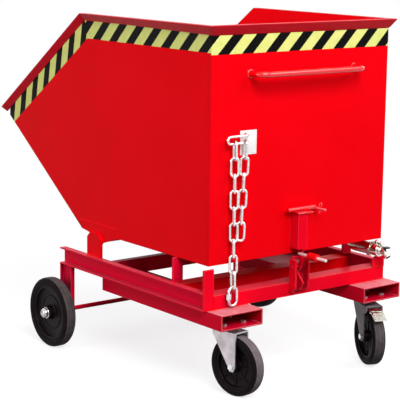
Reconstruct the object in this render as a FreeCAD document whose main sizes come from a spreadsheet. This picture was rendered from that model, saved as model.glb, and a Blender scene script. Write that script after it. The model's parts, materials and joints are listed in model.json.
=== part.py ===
"""Tipping skip trolley: a sheet-steel skip hinged on a wheeled frame with two fork pockets.

X points to the right of the person pushing, Y forwards to the pouring lip, Z up from the floor.
Lengths are in millimetres. Heights count from the floor, reaches from the back of the skip.
"""
import FreeCAD, Part
import math
import operator
import os
import Sketcher

SIZES = {
    # skip: sheet-steel box with a sloping front
    "skip_width": 770.0,
    "skip_sheet": 3.0,
    "skip_bottom": 427.0,
    "skip_top": 1193.0,
    "skip_top_reach": 717.0,
    "skip_floor_reach": 730.0,
    "lip_reach": 1225.0,
    "lip_bottom": 782.0,
    "lip_top": 834.0,
    # rim folded outwards round the top edge
    "rim_flange": 20.0,
    "rim_drop": 30.0,
    "side_rim_drop": 22.0,
    "rim_sheet": 3.0,
    "rim_overhang": 30.0,
    # push handle of bent round bar
    "handle_span": 450.0,
    "handle_reach": 60.0,
    "handle_level": 1036.0,
    "handle_bar": 20.0,
    "handle_bend": 32.0,
    # hinge under the floor
    "hinge_reach": 636.0,
    "hinge_level": 405.0,
    "hinge_shaft": 22.0,
    "hinge_tube": 32.0,
    "hinge_plate": 4.0,
    "hinge_plate_top": 460.0,
    "hinge_plate_rear": 505.0,
    "hinge_plate_front": 742.0,
    "hinge_plate_foot": 380.0,
    "hinge_post_width": 84.0,
    "hinge_post_top": 428.0,
    "hinge_post_steel": 10.0,
    "hinge_post_corner": 18.0,
    # frame of channels, tubes and flats
    "channel_depth": 60.0,
    "channel_flange": 25.0,
    "channel_steel": 5.0,
    "channel_gap": 5.0,
    "frame_rear": 4.0,
    "right_channel_setback": 20.0,
    "frame_front": 832.0,
    "tube_width": 60.0,
    "tube_depth": 46.0,
    "tube_steel": 4.0,
    "middle_tube_reach": 165.0,
    "front_channel_reach": 547.0,
    "front_channel_depth": 52.0,
    "flat_width": 40.0,
    "flat_steel": 8.0,
    "corner_post_top": 418.0,
    "corner_post_outside": 411.0,
    "stub_post_outside": 392.0,
    "stub_post_width": 54.0,
    "stub_post_top": 368.0,
    "stub_post_corner": 14.0,
    "support_post_outside": 401.0,
    "rest_gap": 0.3,
    # fork pockets of rectangular tube
    "pocket_width": 170.0,
    "pocket_depth": 52.0,
    "pocket_steel": 4.0,
    "pocket_spacing": 624.0,
    "pocket_overhang": 87.0,
    "pocket_front": 584.0,
    # wheel legs and front axle
    "leg_width": 72.0,
    "leg_flange": 16.0,
    "leg_steel": 4.0,
    "leg_inside": 399.0,
    "leg_bottom": 95.0,
    "axle_setback": 56.0,
    "axle_bar": 16.0,
    "axle_collar": 22.0,
    "axle_cap": 36.0,
    "axle_cap_length": 20.0,
    "axle_cap_end": 7.0,
    # wheels
    "front_wheel": 250.0,
    "front_tyre_width": 46.0,
    "front_tyre_depth": 30.0,
    "front_track": 966.0,
    "front_hub": 48.0,
    "front_hub_length": 52.0,
    "castor_wheel": 200.0,
    "castor_tyre_width": 46.0,
    "castor_tyre_depth": 25.0,
    "castor_hub": 38.0,
    "castor_hub_length": 52.0,
    "wheel_web": 10.0,
    "wheel_rim": 7.0,
    # castors
    "castor_height": 232.0,
    "castor_setback": 8.0,
    "castor_trail": 50.0,
    "castor_left_angle": 8.6,
    "castor_right_angle": -23.0,
    "castor_plate_length": 110.0,
    "castor_plate_width": 100.0,
    "castor_plate_steel": 6.0,
    "castor_race": 68.0,
    "castor_race_depth": 10.0,
    "castor_crown": 5.0,
    "kingpin": 16.0,
    "kingpin_head": 28.0,
    "kingpin_head_depth": 6.0,
    "fork_gap": 54.0,
    "fork_steel": 4.0,
    "fork_corner": 5.0,
    "fork_foot": 15.6,
    "fork_lap": 2.0,
    "castor_axle": 12.0,
    "castor_axle_flats": 18.0,
    "castor_bolt": 10.0,
    "castor_bolt_flats": 16.0,
    "castor_bolt_spread": 80.0,
    "castor_bolt_pitch": 72.0,
    "castor_bolt_head": 6.5,
    "castor_bolt_nut": 8.0,
    # brake on one castor
    "brake_pin": 6.0,
    "brake_eye": 10.0,
    "brake_width": 44.0,
    "brake_setback": 75.0,
    "brake_level": 204.0,
    "brake_shoe_start": 15.0,
    "brake_shoe_end": 30.0,
    "brake_shoe_gap": 3.0,
    "brake_pedal_length": 75.0,
    "brake_pedal_drop": 25.0,
    # latch: column and catch on the skip, keeper and pedal on the frame
    "latch_offset": -20.0,
    "column_side": 40.0,
    "column_steel": 4.0,
    "column_bottom": 446.0,
    "column_top": 567.0,
    "catch_bar": 12.0,
    "catch_reach": -13.0,
    "catch_level": 413.0,
    "grip_bar": 16.0,
    "grip_left": 51.0,
    "grip_right": 68.0,
    "keeper_gap": 50.0,
    "keeper_steel": 6.0,
    "keeper_depth": 32.0,
    "keeper_bottom": 300.0,
    "keeper_top": 412.0,
    "pedal_reach": -26.0,
    "pedal_level": 385.0,
    "pedal_pin": 10.0,
    "pedal_eye": 24.0,
    "pedal_plate": 12.0,
    "pedal_rod": 10.0,
    "pedal_rod_rise": 43.0,
    "pedal_length": 130.0,
    "roller_width": 26.0,
    "roller_start": 49.0,
    "roller_length": 40.0,
    # safety chain on its staple
    "staple_bar": 8.0,
    "staple_left": -330.0,
    "staple_right": -242.0,
    "staple_reach": 22.0,
    "staple_level": 819.0,
    "staple_drop": 23.0,
    "staple_bend": 11.0,
    "link_wire": 8.0,
    "link_length": 53.0,
    "link_inside": 16.0,
    "link_play": 0.2,
    "long_strand": -301.0,
    "short_strand": -258.0,
    "short_strand_angle": 3.0,
    "screw_link_wire": 9.0,
    "screw_link_length": 53.0,
    "screw_link_inside": 24.0,
    "screw_link_play": 0.5,
    "sleeve_width": 15.0,
    "sleeve_length": 18.0,
    # drain tap
    "drain_offset": 345.0,
    "drain_reach": 112.0,
    "drain_level": 394.0,
    "drain_pipe": 42.4,
    "drain_bore": 36.0,
    "drain_bend": 28.0,
    "union_width": 46.0,
    "union_length": 18.0,
    "tap_body": 42.0,
    "tap_neck": 34.0,
    "tap_neck_length": 8.0,
    "tap_reach": 44.0,
    "tap_ball": 25.0,
    "tap_bore": 16.0,
    "tap_stem": 8.0,
    "tap_stem_rise": 31.0,
    "tap_boss": 20.0,
    "tap_lever_width": 18.0,
    "tap_lever_steel": 4.0,
    "tap_lever_length": 54.0,
    "tap_lever_drop": 12.0,
    "spout_pipe": 24.0,
    "spout_bore": 18.0,
    "spout_reach": 60.0,
    "spout_fall": 17.0,
    "spout_bend": 14.0,
    # sieve over the drain hole
    "sieve_side": 160.0,
    "sieve_height": 22.0,
    "sieve_sheet": 2.0,
    "sieve_hole": 10.0,
    "sieve_pitch": 24.0,
    # fits
    "running_gap": 0.05,
    "side_gap": 0.3,
    "ball_gap": 0.4,
    "overrun": 20.0,
}
LONG_LINKS = 9
SHORT_LINKS = 6
TOP_TURN = 74
EVEN_TURN = -32
ODD_TURN = 58
LAST_TURNS = [-20, 80]
SIEVE_ROWS = 6
NUT_SIDES = 6
SIDES = {"left": -1, "right": 1}
TURNS = {"X": ((0, 1, 0), 90), "Y": ((1, 0, 0), -90), "Z": ((0, 0, 1), 0)}
OPERATIONS = {"+": operator.add, "-": operator.sub, "*": operator.mul, "/": operator.truediv}


class Measure:
    """A length with its number and the sheet formula behind it."""

    def __init__(self, value, formula):
        self.value = value
        self.formula = formula

    def __add__(self, other):
        return joined(self, "+", other)

    def __sub__(self, other):
        return joined(self, "-", other)

    def __mul__(self, other):
        return joined(self, "*", other)

    def __truediv__(self, other):
        return joined(self, "/", other)

    def __rmul__(self, other):
        return joined(other, "*", self)

    def __neg__(self):
        return joined(NONE, "-", self)


def joined(left, sign, right):
    """The sum, difference, product or quotient of two lengths or a length and a number."""
    if not isinstance(left, Measure):
        left = Measure(left, repr(float(left)))
    if not isinstance(right, Measure):
        right = Measure(right, repr(float(right)))
    value = OPERATIONS[sign](left.value, right.value)
    return Measure(value, f"({left.formula} {sign} {right.formula})")


def root(size):
    """The square root of a length product."""
    return Measure(math.sqrt(size.value), f"sqrt({size.formula})")


NONE = Measure(0.0, "0")
doc = FreeCAD.newDocument("tipping_skip_trolley")
sheet = doc.addObject("Spreadsheet::Sheet", "Sizes")
for row, (name, size) in enumerate(SIZES.items(), 1):
    sheet.set(f"A{row}", name)
    sheet.set(f"B{row}", str(size))
    sheet.setAlias(f"B{row}", name)
doc.recompute()
s = {name: Measure(float(sheet.get(name)), f"Sizes.{name}") for name in SIZES}
nodes = []


def vector(x, y, z):
    """A point from three lengths."""
    return FreeCAD.Vector(x.value, y.value, z.value)


def rectangle(left, right, bottom, top):
    """The four corners of a rectangle."""
    return [(left, bottom), (right, bottom), (right, top), (left, top)]


def pin(sketch, shape, point, across, up):
    """Holds a point of a sketch at its two distances from the origin."""
    for kind, size in (("DistanceX", across), ("DistanceY", up)):
        number = sketch.addConstraint(Sketcher.Constraint(kind, -1, 1, shape, point, size.value))
        sketch.setExpression(f"Constraints[{number}]", size.formula)


def draw_corners(sketch, corners):
    """A closed outline of straight lines."""
    first = sketch.GeometryCount
    spots = [vector(across, up, NONE) for across, up in corners]
    for start, end in zip(spots, spots[1:] + spots[:1]):
        sketch.addGeometry(Part.LineSegment(start, end), False)
    for step in range(len(corners)):
        following = first + (step + 1) % len(corners)
        sketch.addConstraint(Sketcher.Constraint("Coincident", first + step, 2, following, 1))
    for step, (across, up) in enumerate(corners):
        pin(sketch, first + step, 1, across, up)


def draw_circle(sketch, across, up, radius):
    """A circle with its centre and radius."""
    ring = Part.Circle(vector(across, up, NONE), FreeCAD.Vector(0, 0, 1), radius.value)
    shape = sketch.addGeometry(ring, False)
    pin(sketch, shape, 3, across, up)
    number = sketch.addConstraint(Sketcher.Constraint("Radius", shape, radius.value))
    sketch.setExpression(f"Constraints[{number}]", radius.formula)


def sketch_in(body, plane, start):
    """A sketch in one of the body's own planes, moved along the plane's normal."""
    sketch = body.newObject("Sketcher::SketchObject", body.Name + "_outline")
    support = [feature for feature in body.Origin.OriginFeatures if feature.Role == plane + "_Plane"]
    sketch.AttachmentSupport = [(support[0], "")]
    sketch.MapMode = "FlatFace"
    facing = -1 if plane == "XZ" else 1
    sketch.setExpression("AttachmentOffset.Base.z", (facing * start).formula)
    return sketch


def run(label, plane, start, length, outlines=(), rounds=()):
    """A straight run of one section: the first outline is the edge, later ones and circles are holes."""
    body = doc.addObject("PartDesign::Body", label)
    sketch = sketch_in(body, plane, start)
    for corners in outlines:
        draw_corners(sketch, corners)
    for across, up, radius in rounds:
        draw_circle(sketch, across, up, radius)
    solid = body.newObject("PartDesign::Pad", label + "_run")
    solid.Profile = sketch
    solid.Reversed = plane == "XZ"
    solid.setExpression("Length", length.formula)
    return body


def spin(label, profile):
    """A turned piece: a profile of distances along X and radii, spun about X."""
    body = doc.addObject("PartDesign::Body", label)
    sketch = sketch_in(body, "XY", NONE)
    draw_corners(sketch, profile)
    solid = body.newObject("PartDesign::Revolution", label + "_turn")
    solid.Profile = sketch
    solid.ReferenceAxis = (sketch, ["H_Axis"])
    return body


def round_off(body, radius, chosen):
    """Rounds the edges of a body that the chooser picks."""
    doc.recompute()
    solid = body.Tip
    names = [f"Edge{number}" for number, edge in enumerate(solid.Shape.Edges, 1) if chosen(edge)]
    rounding = body.newObject("PartDesign::Fillet", body.Name + "_rounding")
    rounding.Base = (solid, names)
    rounding.setExpression("Radius", radius.formula)
    return body


def lay(bar, x, y, z, axis):
    """Lays an upright bar along an axis, starting from a point."""
    about, angle = TURNS[axis]
    bar.Placement.Rotation = FreeCAD.Rotation(FreeCAD.Vector(*about), angle)
    for letter, size in zip("xyz", (x, y, z)):
        bar.setExpression(f"Placement.Base.{letter}", size.formula)


def rod(label, radius, length, x, y, z, axis="Z"):
    """A round bar from a point along one axis."""
    bar = doc.addObject("Part::Cylinder", label)
    bar.setExpression("Radius", radius.formula)
    bar.setExpression("Height", length.formula)
    lay(bar, x, y, z, axis)
    return bar


def hexagon(label, width, length, x, y, z, axis="Z"):
    """A hexagon bar of a width across flats, from a point along one axis."""
    bar = doc.addObject("Part::Prism", label)
    bar.Polygon = NUT_SIDES
    corner_share = 1 / (2 * math.cos(math.pi / NUT_SIDES))
    bar.setExpression("Circumradius", (width * corner_share).formula)
    bar.setExpression("Height", length.formula)
    lay(bar, x, y, z, axis)
    return bar


def block(label, x, y, z):
    """A box between two limits on each axis."""
    box = doc.addObject("Part::Box", label)
    for letter, side, (low, high) in zip("xyz", ("Length", "Width", "Height"), (x, y, z)):
        box.setExpression(side, (high - low).formula)
        box.setExpression(f"Placement.Base.{letter}", low.formula)
    return box


def weld(label, pieces):
    """Several shapes made into one solid."""
    solid = doc.addObject("Part::MultiFuse", label)
    solid.Shapes = pieces
    solid.Refine = True
    return solid


def cut(label, base, tools):
    """A shape with others taken out of it."""
    solid = doc.addObject("Part::Cut", label)
    solid.Base = base
    solid.Tool = tools[0] if len(tools) == 1 else weld(label + "_tools", tools)
    return solid


def group(label, pieces):
    """Separate solids of one kind in one node."""
    set_of = doc.addObject("Part::Compound", label)
    set_of.Links = pieces
    return set_of


def feature(label, shape):
    """A shape made from curves."""
    piece = doc.addObject("Part::Feature", label)
    piece.Shape = shape
    return piece


def place(piece, x=NONE, y=NONE, z=NONE, turn=NONE):
    """Puts a finished piece into the trolley, with the origin under the middle of the whole."""
    piece.setExpression("Placement.Base.x", x.formula)
    piece.setExpression("Placement.Base.y", (y - middle).formula)
    piece.setExpression("Placement.Base.z", z.formula)
    piece.setExpression("Placement.Rotation.Angle", turn.formula)
    nodes.append(piece)


def bent_path(points, bend):
    """Straight lines through the points with every inner corner rounded."""
    edges = []
    start = points[0]
    for before, corner, after in zip(points, points[1:], points[2:]):
        arriving = (corner - before).normalize()
        leaving = (after - corner).normalize()
        turn = arriving.getAngle(leaving)
        back = bend * math.tan(turn / 2)
        entry = corner - arriving * back
        leave = corner + leaving * back
        inward = (leaving - arriving).normalize()
        centre = corner + inward * (bend / math.cos(turn / 2))
        edges.append(Part.makeLine(start, entry))
        edges.append(Part.Arc(entry, centre - inward * bend, leave).toShape())
        start = leave
    edges.append(Part.makeLine(start, points[-1]))
    return Part.Wire(edges)


def swept(path, radius):
    """A round section carried along a path."""
    edge = path.OrderedEdges[0]
    start = edge.valueAt(edge.FirstParameter)
    along = edge.tangentAt(edge.FirstParameter)
    section = Part.Wire(Part.makeCircle(radius, start, along))
    return path.makePipeShell([section], True, False)


def link(length, inside, wire):
    """A chain link in the X-Z plane about the origin, from its inner length and inner width."""
    radius = (inside + wire) / 2
    straight = length / 2 - inside / 2
    quarters = ((1, -1), (1, 1), (-1, 1), (-1, -1))
    corners = [FreeCAD.Vector(side * radius, 0, end * straight) for side, end in quarters]
    top = FreeCAD.Vector(0, 0, straight + radius)
    right = Part.makeLine(corners[0], corners[1])
    over = Part.Arc(corners[1], top, corners[2]).toShape()
    left = Part.makeLine(corners[2], corners[3])
    under = Part.Arc(corners[3], -top, corners[0]).toShape()
    return swept(Part.Wire([right, over, left, under]), wire / 2)


# Heights and widths that several pieces share.
half_skip = s["skip_width"] / 2
half_inside = half_skip - s["skip_sheet"]
pocket_bottom = s["castor_height"]
pocket_top = pocket_bottom + s["pocket_depth"]
channel_top = pocket_top + s["channel_depth"]
tube_top = pocket_top + s["tube_depth"]
channel_inside = half_skip + s["channel_gap"]
channel_outside = channel_inside + s["channel_flange"]
frame_length = s["frame_front"] + s["frame_rear"]
post_rear = -s["frame_rear"] - s["flat_steel"]
rim_end = s["lip_reach"] + s["rim_overhang"]
castor_rear = s["castor_setback"] + s["castor_trail"] + s["castor_wheel"] / 2
middle = (rim_end - castor_rear) / 2
overrun = s["overrun"]

# Skip sheets: side walls carry the outline, the other sheets stand between them.
side_outline = [
    (s["skip_sheet"], s["skip_bottom"]),
    (s["skip_floor_reach"], s["skip_bottom"]),
    (s["lip_reach"], s["lip_bottom"]),
    (s["lip_reach"], s["lip_top"]),
    (s["skip_top_reach"], s["skip_top"]),
    (s["skip_sheet"], s["skip_top"]),
]
rear_outline = rectangle(-half_skip, half_skip, s["skip_bottom"], s["skip_top"])
place(run("skip_rear_wall", "XZ", NONE, s["skip_sheet"], [rear_outline]))
place(run("skip_left_wall", "YZ", -half_skip, s["skip_sheet"], [side_outline]))
place(run("skip_right_wall", "YZ", half_inside, s["skip_sheet"], [side_outline]))
floor_outline = rectangle(-half_inside, half_inside, s["skip_sheet"], s["skip_floor_reach"])
drain_hole = (s["drain_offset"], s["drain_reach"], s["drain_bore"] / 2)
place(run("skip_floor", "XY", s["skip_bottom"], s["skip_sheet"], [floor_outline], [drain_hole]))
slope_run = s["lip_reach"] - s["skip_floor_reach"]
slope_rise = s["lip_bottom"] - s["skip_bottom"]
slope_length = root(slope_run * slope_run + slope_rise * slope_rise)
slope_sheet = s["skip_sheet"] * slope_length / slope_run
front_outline = [
    (s["skip_floor_reach"], s["skip_bottom"]),
    (s["lip_reach"], s["lip_bottom"]),
    (s["lip_reach"], s["lip_bottom"] + slope_sheet),
    (s["skip_floor_reach"], s["skip_bottom"] + slope_sheet),
]
place(run("skip_front_sheet", "YZ", -half_inside, 2 * half_inside, [front_outline]))

# Rim: a flat flange whose edge is folded back to the wall below, mitred at every corner.


def rim_section(drop):
    """The folded section as pairs of reach out of the wall and depth under the top."""
    return [
        (NONE, NONE),
        (s["rim_flange"], NONE),
        (s["rim_flange"], s["rim_sheet"]),
        (s["rim_sheet"], drop),
        (NONE, drop),
        (NONE, drop - s["rim_sheet"] * drop / s["rim_flange"]),
        (s["rim_flange"] - 2 * s["rim_sheet"], s["rim_sheet"]),
        (NONE, s["rim_sheet"]),
    ]


fall_run = s["lip_reach"] - s["skip_top_reach"]
fall_drop = s["skip_top"] - s["lip_top"]
fall_length = root(fall_run * fall_run + fall_drop * fall_drop)
fall_along = fall_run / fall_length
fall_down = fall_drop / fall_length
mitre = fall_down / (fall_along + 1)


def rim_piece(label, stations):
    """A rim run lofted through its end sections."""
    wires = [Part.makePolygon(points + points[:1]) for points in stations]
    return feature(label, Part.makeLoft(wires, True, True))


def rear_corner(side):
    """The rim section on the mitre of a rear corner."""
    return [
        vector(side * (half_skip + out), -out, s["skip_top"] - down)
        for out, down in rim_section(s["rim_drop"])
    ]


def top_corner(side):
    """The rim section where the level rim turns down to the lip."""
    return [
        vector(side * (half_skip + out), s["skip_top_reach"] - mitre * down, s["skip_top"] - down)
        for out, down in rim_section(s["side_rim_drop"])
    ]


def lip_end(side):
    """The square-cut rim section past the front edge of the wall."""
    level = s["lip_top"] - s["rim_overhang"] * fall_down / fall_along
    return [
        vector(side * (half_skip + out), rim_end - fall_down * down, level - fall_along * down)
        for out, down in rim_section(s["side_rim_drop"])
    ]


place(rim_piece("rim_rear", [rear_corner(-1), rear_corner(1)]))
for name, side in SIDES.items():
    place(rim_piece("rim_" + name, [rear_corner(side), top_corner(side), lip_end(side)]))

# Push handle: one bent bar welded to the rear wall.
half_span = s["handle_span"] / 2
handle_points = [
    vector(-half_span, NONE, s["handle_level"]),
    vector(-half_span, -s["handle_reach"], s["handle_level"]),
    vector(half_span, -s["handle_reach"], s["handle_level"]),
    vector(half_span, NONE, s["handle_level"]),
]
handle_path = bent_path(handle_points, s["handle_bend"].value)
place(feature("push_handle", swept(handle_path, s["handle_bar"].value / 2)))

# Hinge: plates and tube on the skip turn on a shaft held by two posts of the frame.
tube_radius = s["hinge_tube"] / 2
shaft_radius = s["hinge_shaft"] / 2
half_post = s["hinge_post_width"] / 2
plate_edge = s["hinge_level"] - s["hinge_plate_foot"]
plate_shoulder_share = 0.3
plate_outline = [
    (s["hinge_plate_rear"], s["hinge_plate_top"]),
    (s["hinge_plate_rear"], s["skip_bottom"]),
    (s["hinge_reach"] - half_post, s["hinge_level"] - plate_edge * plate_shoulder_share),
    (s["hinge_reach"] - plate_edge, s["hinge_plate_foot"]),
    (s["hinge_reach"] + plate_edge, s["hinge_plate_foot"]),
    (s["hinge_reach"] + half_post, s["skip_bottom"] - s["hinge_plate"]),
    (s["skip_floor_reach"], s["skip_bottom"] + s["hinge_plate"]),
    (s["hinge_plate_front"], s["hinge_plate_top"]),
]
hinge_bore = (s["hinge_reach"], s["hinge_level"], tube_radius)
half_hinge = half_skip + s["hinge_plate"]
left_plate = run("hinge_plate_left", "YZ", -half_hinge, s["hinge_plate"], [plate_outline], [hinge_bore])
right_plate = run("hinge_plate_right", "YZ", half_skip, s["hinge_plate"], [plate_outline], [hinge_bore])
place(group("hinge_plates", [left_plate, right_plate]))
hinge_inner = (s["hinge_reach"], s["hinge_level"], shaft_radius + s["running_gap"])
place(run("hinge_tube", "YZ", -half_hinge, 2 * half_hinge, [], [hinge_bore, hinge_inner]))
post_inside = half_hinge + s["side_gap"]
post_outside = post_inside + s["hinge_post_steel"]
post_corner = s["hinge_post_corner"]
post_outline = [
    (s["hinge_reach"] - half_post, channel_top),
    (s["hinge_reach"] + half_post, channel_top),
    (s["hinge_reach"] + half_post, s["hinge_post_top"] - post_corner),
    (s["hinge_reach"] + half_post - post_corner, s["hinge_post_top"]),
    (s["hinge_reach"] - half_post + post_corner, s["hinge_post_top"]),
    (s["hinge_reach"] - half_post, s["hinge_post_top"] - post_corner),
]
shaft_hole = (s["hinge_reach"], s["hinge_level"], shaft_radius)
left_post = run("hinge_post_left", "YZ", -post_outside, s["hinge_post_steel"], [post_outline], [shaft_hole])
right_post = run("hinge_post_right", "YZ", post_inside, s["hinge_post_steel"], [post_outline], [shaft_hole])
place(group("hinge_posts", [left_post, right_post]))
place(run("hinge_shaft", "YZ", -post_outside, 2 * post_outside, [], [shaft_hole]))

# Frame: side channels open outwards, cross members between them, flats for posts.
steel = s["channel_steel"]
for name, side in SIDES.items():
    web = side * channel_inside
    edge = side * channel_outside
    channel_outline = [
        (web, pocket_top),
        (edge, pocket_top),
        (edge, pocket_top + steel),
        (web + side * steel, pocket_top + steel),
        (web + side * steel, channel_top - steel),
        (edge, channel_top - steel),
        (edge, channel_top),
        (web, channel_top),
    ]
    setback = s["right_channel_setback"] if side > 0 else NONE
    channel_start = setback - s["frame_rear"]
    place(run(f"side_channel_{name}", "XZ", channel_start, frame_length - setback, [channel_outline]))
tube_wall = s["tube_steel"]
corner_inside = s["corner_post_outside"] - s["flat_width"]


def cross_tube(label, reach, left, right):
    """A rectangular tube lying across the frame on the fork pockets."""
    front = reach + s["tube_width"]
    outside = rectangle(reach, front, pocket_top, tube_top)
    inside = rectangle(reach + tube_wall, front - tube_wall, pocket_top + tube_wall, tube_top - tube_wall)
    place(run(label, "YZ", -left, left + right, [outside, inside]))


cross_tube("rear_tube", post_rear, corner_inside, channel_inside)
cross_tube("middle_tube", s["middle_tube_reach"], channel_inside, channel_inside)
front_web = s["front_channel_reach"]
front_edge = front_web + s["channel_flange"]
front_top = pocket_top + s["front_channel_depth"]
front_channel = [
    (front_web, pocket_top),
    (front_edge, pocket_top),
    (front_edge, pocket_top + steel),
    (front_web + steel, pocket_top + steel),
    (front_web + steel, front_top - steel),
    (front_edge, front_top - steel),
    (front_edge, front_top),
    (front_web, front_top),
]
place(run("front_channel", "YZ", -channel_inside, 2 * channel_inside, [front_channel]))


def flat_posts(label, reach, left, right):
    """Two upright flats, given by their outlines seen from behind."""
    left_flat = run(label + "_left", "XZ", reach, s["flat_steel"], [left])
    right_flat = run(label + "_right", "XZ", reach, s["flat_steel"], [right])
    place(group(label, [left_flat, right_flat]))


corner_post = rectangle(-s["corner_post_outside"], -corner_inside, pocket_top, s["corner_post_top"])
stub_inside = s["stub_post_outside"] - s["stub_post_width"]
stub_post = [
    (stub_inside, tube_top),
    (s["stub_post_outside"], tube_top),
    (s["stub_post_outside"], s["stub_post_top"]),
    (stub_inside + s["stub_post_corner"], s["stub_post_top"]),
    (stub_inside, s["stub_post_top"] - s["stub_post_corner"]),
]
flat_posts("corner_posts", post_rear, corner_post, stub_post)
support_top = s["skip_bottom"] - s["rest_gap"]
support_inside = s["support_post_outside"] - s["flat_width"]
support_left = rectangle(-s["support_post_outside"], -support_inside, channel_top, support_top)
support_right = rectangle(support_inside, s["support_post_outside"], channel_top, support_top)
flat_posts("support_posts", s["middle_tube_reach"], support_left, support_right)

# Fork pockets: rectangular tubes under the frame, with the castors bolted below their rear ends.
bolt_radius = s["castor_bolt"] / 2
bolt_hole = bolt_radius + s["running_gap"]
half_spread = s["castor_bolt_spread"] / 2
half_pitch = s["castor_bolt_pitch"] / 2
bolt_spots = [(across * half_spread, along * half_pitch) for across in (-1, 1) for along in (-1, 1)]
half_pocket = s["pocket_width"] / 2
pocket_length = s["pocket_front"] + s["pocket_overhang"]
pocket_wall = s["pocket_steel"]
plate_bottom = pocket_bottom - s["castor_plate_steel"]
race_bottom = plate_bottom - s["castor_race_depth"]
crown_top = race_bottom - s["side_gap"]
crown_bottom = crown_top - s["castor_crown"]
head_top = crown_bottom - s["side_gap"]
head_bottom = head_top - s["kingpin_head_depth"]
bolt_top = pocket_bottom + pocket_wall
bolt_tail = plate_bottom - s["castor_bolt_nut"]
half_length = s["castor_plate_length"] / 2
half_width = s["castor_plate_width"] / 2
plate_edges = rectangle(-half_length, half_length, -half_width, half_width)
plate_holes = [(x, y, bolt_hole) for x, y in bolt_spots]
pocket_outer = rectangle(-half_pocket, half_pocket, pocket_bottom, pocket_top)
half_mouth = half_pocket - pocket_wall
pocket_inner = rectangle(-half_mouth, half_mouth, bolt_top, pocket_top - pocket_wall)
pocket_start = s["castor_setback"] - s["pocket_overhang"]
bolts = []
for name, side in SIDES.items():
    centre = side * s["pocket_spacing"] / 2
    tube = run(f"pocket_tube_{name}", "XZ", pocket_start, pocket_length, [pocket_outer, pocket_inner])
    holes = [
        rod(f"pocket_hole_{name}_{number}", bolt_hole, overrun, x, y, pocket_bottom - overrun / 2)
        for number, (x, y) in enumerate(bolt_spots)
    ]
    place(cut(f"fork_pocket_{name}", tube, holes), centre, -s["castor_setback"])
    plate = run(
        f"castor_plate_{name}", "XY", plate_bottom, s["castor_plate_steel"], [plate_edges], plate_holes
    )
    race_depth = s["castor_race_depth"]
    pin_length = race_bottom - head_bottom
    head_depth = s["kingpin_head_depth"]
    race = rod(f"castor_race_{name}", s["castor_race"] / 2, race_depth, NONE, NONE, race_bottom)
    pivot = rod(f"castor_kingpin_{name}", s["kingpin"] / 2, pin_length, NONE, NONE, head_bottom)
    head = rod(f"castor_pin_head_{name}", s["kingpin_head"] / 2, head_depth, NONE, NONE, head_bottom)
    place(weld(f"castor_{name}_plate", [plate, race, pivot, head]), centre, -s["castor_setback"])
    for number, (x, y) in enumerate(bolt_spots):
        spot = (x + centre, y - s["castor_setback"])
        flats = s["castor_bolt_flats"]
        tag = f"{name}_{number}"
        shank = rod("bolt_shank_" + tag, bolt_radius, bolt_top - bolt_tail, *spot, bolt_tail)
        cap = hexagon("bolt_head_" + tag, flats, s["castor_bolt_head"], *spot, bolt_top)
        nut = hexagon("bolt_nut_" + tag, flats, s["castor_bolt_nut"], *spot, bolt_tail)
        bolts.append(weld("bolt_" + tag, [shank, cap, nut]))
place(group("castor_bolts", bolts))

# Wheel legs: channels with outward flanges carrying the front axle.
leg_steel = s["leg_steel"]
leg_rear = s["frame_front"] - s["leg_width"]
leg_outside = s["leg_inside"] + s["leg_flange"]
axle_reach = s["frame_front"] - s["axle_setback"]
axle_level = s["front_wheel"] / 2
axle_radius = s["axle_bar"] / 2
for name, side in SIDES.items():
    web = side * s["leg_inside"]
    edge = side * leg_outside
    leg_outline = [
        (web, leg_rear),
        (edge, leg_rear),
        (edge, leg_rear + leg_steel),
        (web + side * leg_steel, leg_rear + leg_steel),
        (web + side * leg_steel, s["frame_front"] - leg_steel),
        (edge, s["frame_front"] - leg_steel),
        (edge, s["frame_front"]),
        (web, s["frame_front"]),
    ]
    leg = run(f"leg_channel_{name}", "XY", s["leg_bottom"], pocket_top - s["leg_bottom"], [leg_outline])
    hole = rod(f"leg_hole_{name}", axle_radius, 2 * overrun, web - overrun, axle_reach, axle_level, "X")
    place(cut(f"wheel_leg_{name}", leg, [hole]))
half_track = s["front_track"] / 2
hub_inside = half_track - s["front_hub_length"] / 2
hub_outside = half_track + s["front_hub_length"] / 2
cap_inside = hub_outside + s["side_gap"]
cap_outside = cap_inside + s["axle_cap_length"]
axle_end = cap_outside - s["axle_cap_end"]
axle_line = (axle_reach, axle_level)
axle_bar = run("axle_bar", "YZ", -axle_end, 2 * axle_end, [], [(*axle_line, axle_radius)])
collar_start = s["leg_inside"] + leg_steel
collar_length = hub_inside - s["side_gap"] - collar_start
collar_ring = [(*axle_line, s["axle_collar"] / 2)]
left_collar = run("axle_collar_left", "YZ", -collar_start - collar_length, collar_length, [], collar_ring)
right_collar = run("axle_collar_right", "YZ", collar_start, collar_length, [], collar_ring)
place(weld("front_axle", [axle_bar, left_collar, right_collar]))
cap_radius = s["axle_cap"] / 2
caps = []
for name, side in SIDES.items():
    cap_profile = [
        (side * axle_end, NONE),
        (side * axle_end, axle_radius),
        (side * cap_inside, axle_radius),
        (side * cap_inside, cap_radius),
        (side * axle_end, cap_radius),
        (side * cap_outside, cap_radius - s["axle_cap_end"]),
        (side * cap_outside, NONE),
    ]
    caps.append(spin(f"axle_cap_{name}", cap_profile))
place(group("axle_caps", caps), NONE, *axle_line)


def tyre(label, diameter, width, depth):
    """A rubber tyre with rounded shoulders."""
    outside = diameter / 2
    inside = outside - depth
    shoulder_shares = ((0.40, 0.0), (0.48, 0.2), (0.5, 0.45), (0.47, 0.7), (0.39, 0.9), (0.26, 1.0))
    near = [(-share * width, inside + rise * depth) for share, rise in shoulder_shares]
    far = [(share * width, inside + rise * depth) for share, rise in reversed(shoulder_shares)]
    return spin(label, near + far)


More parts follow.
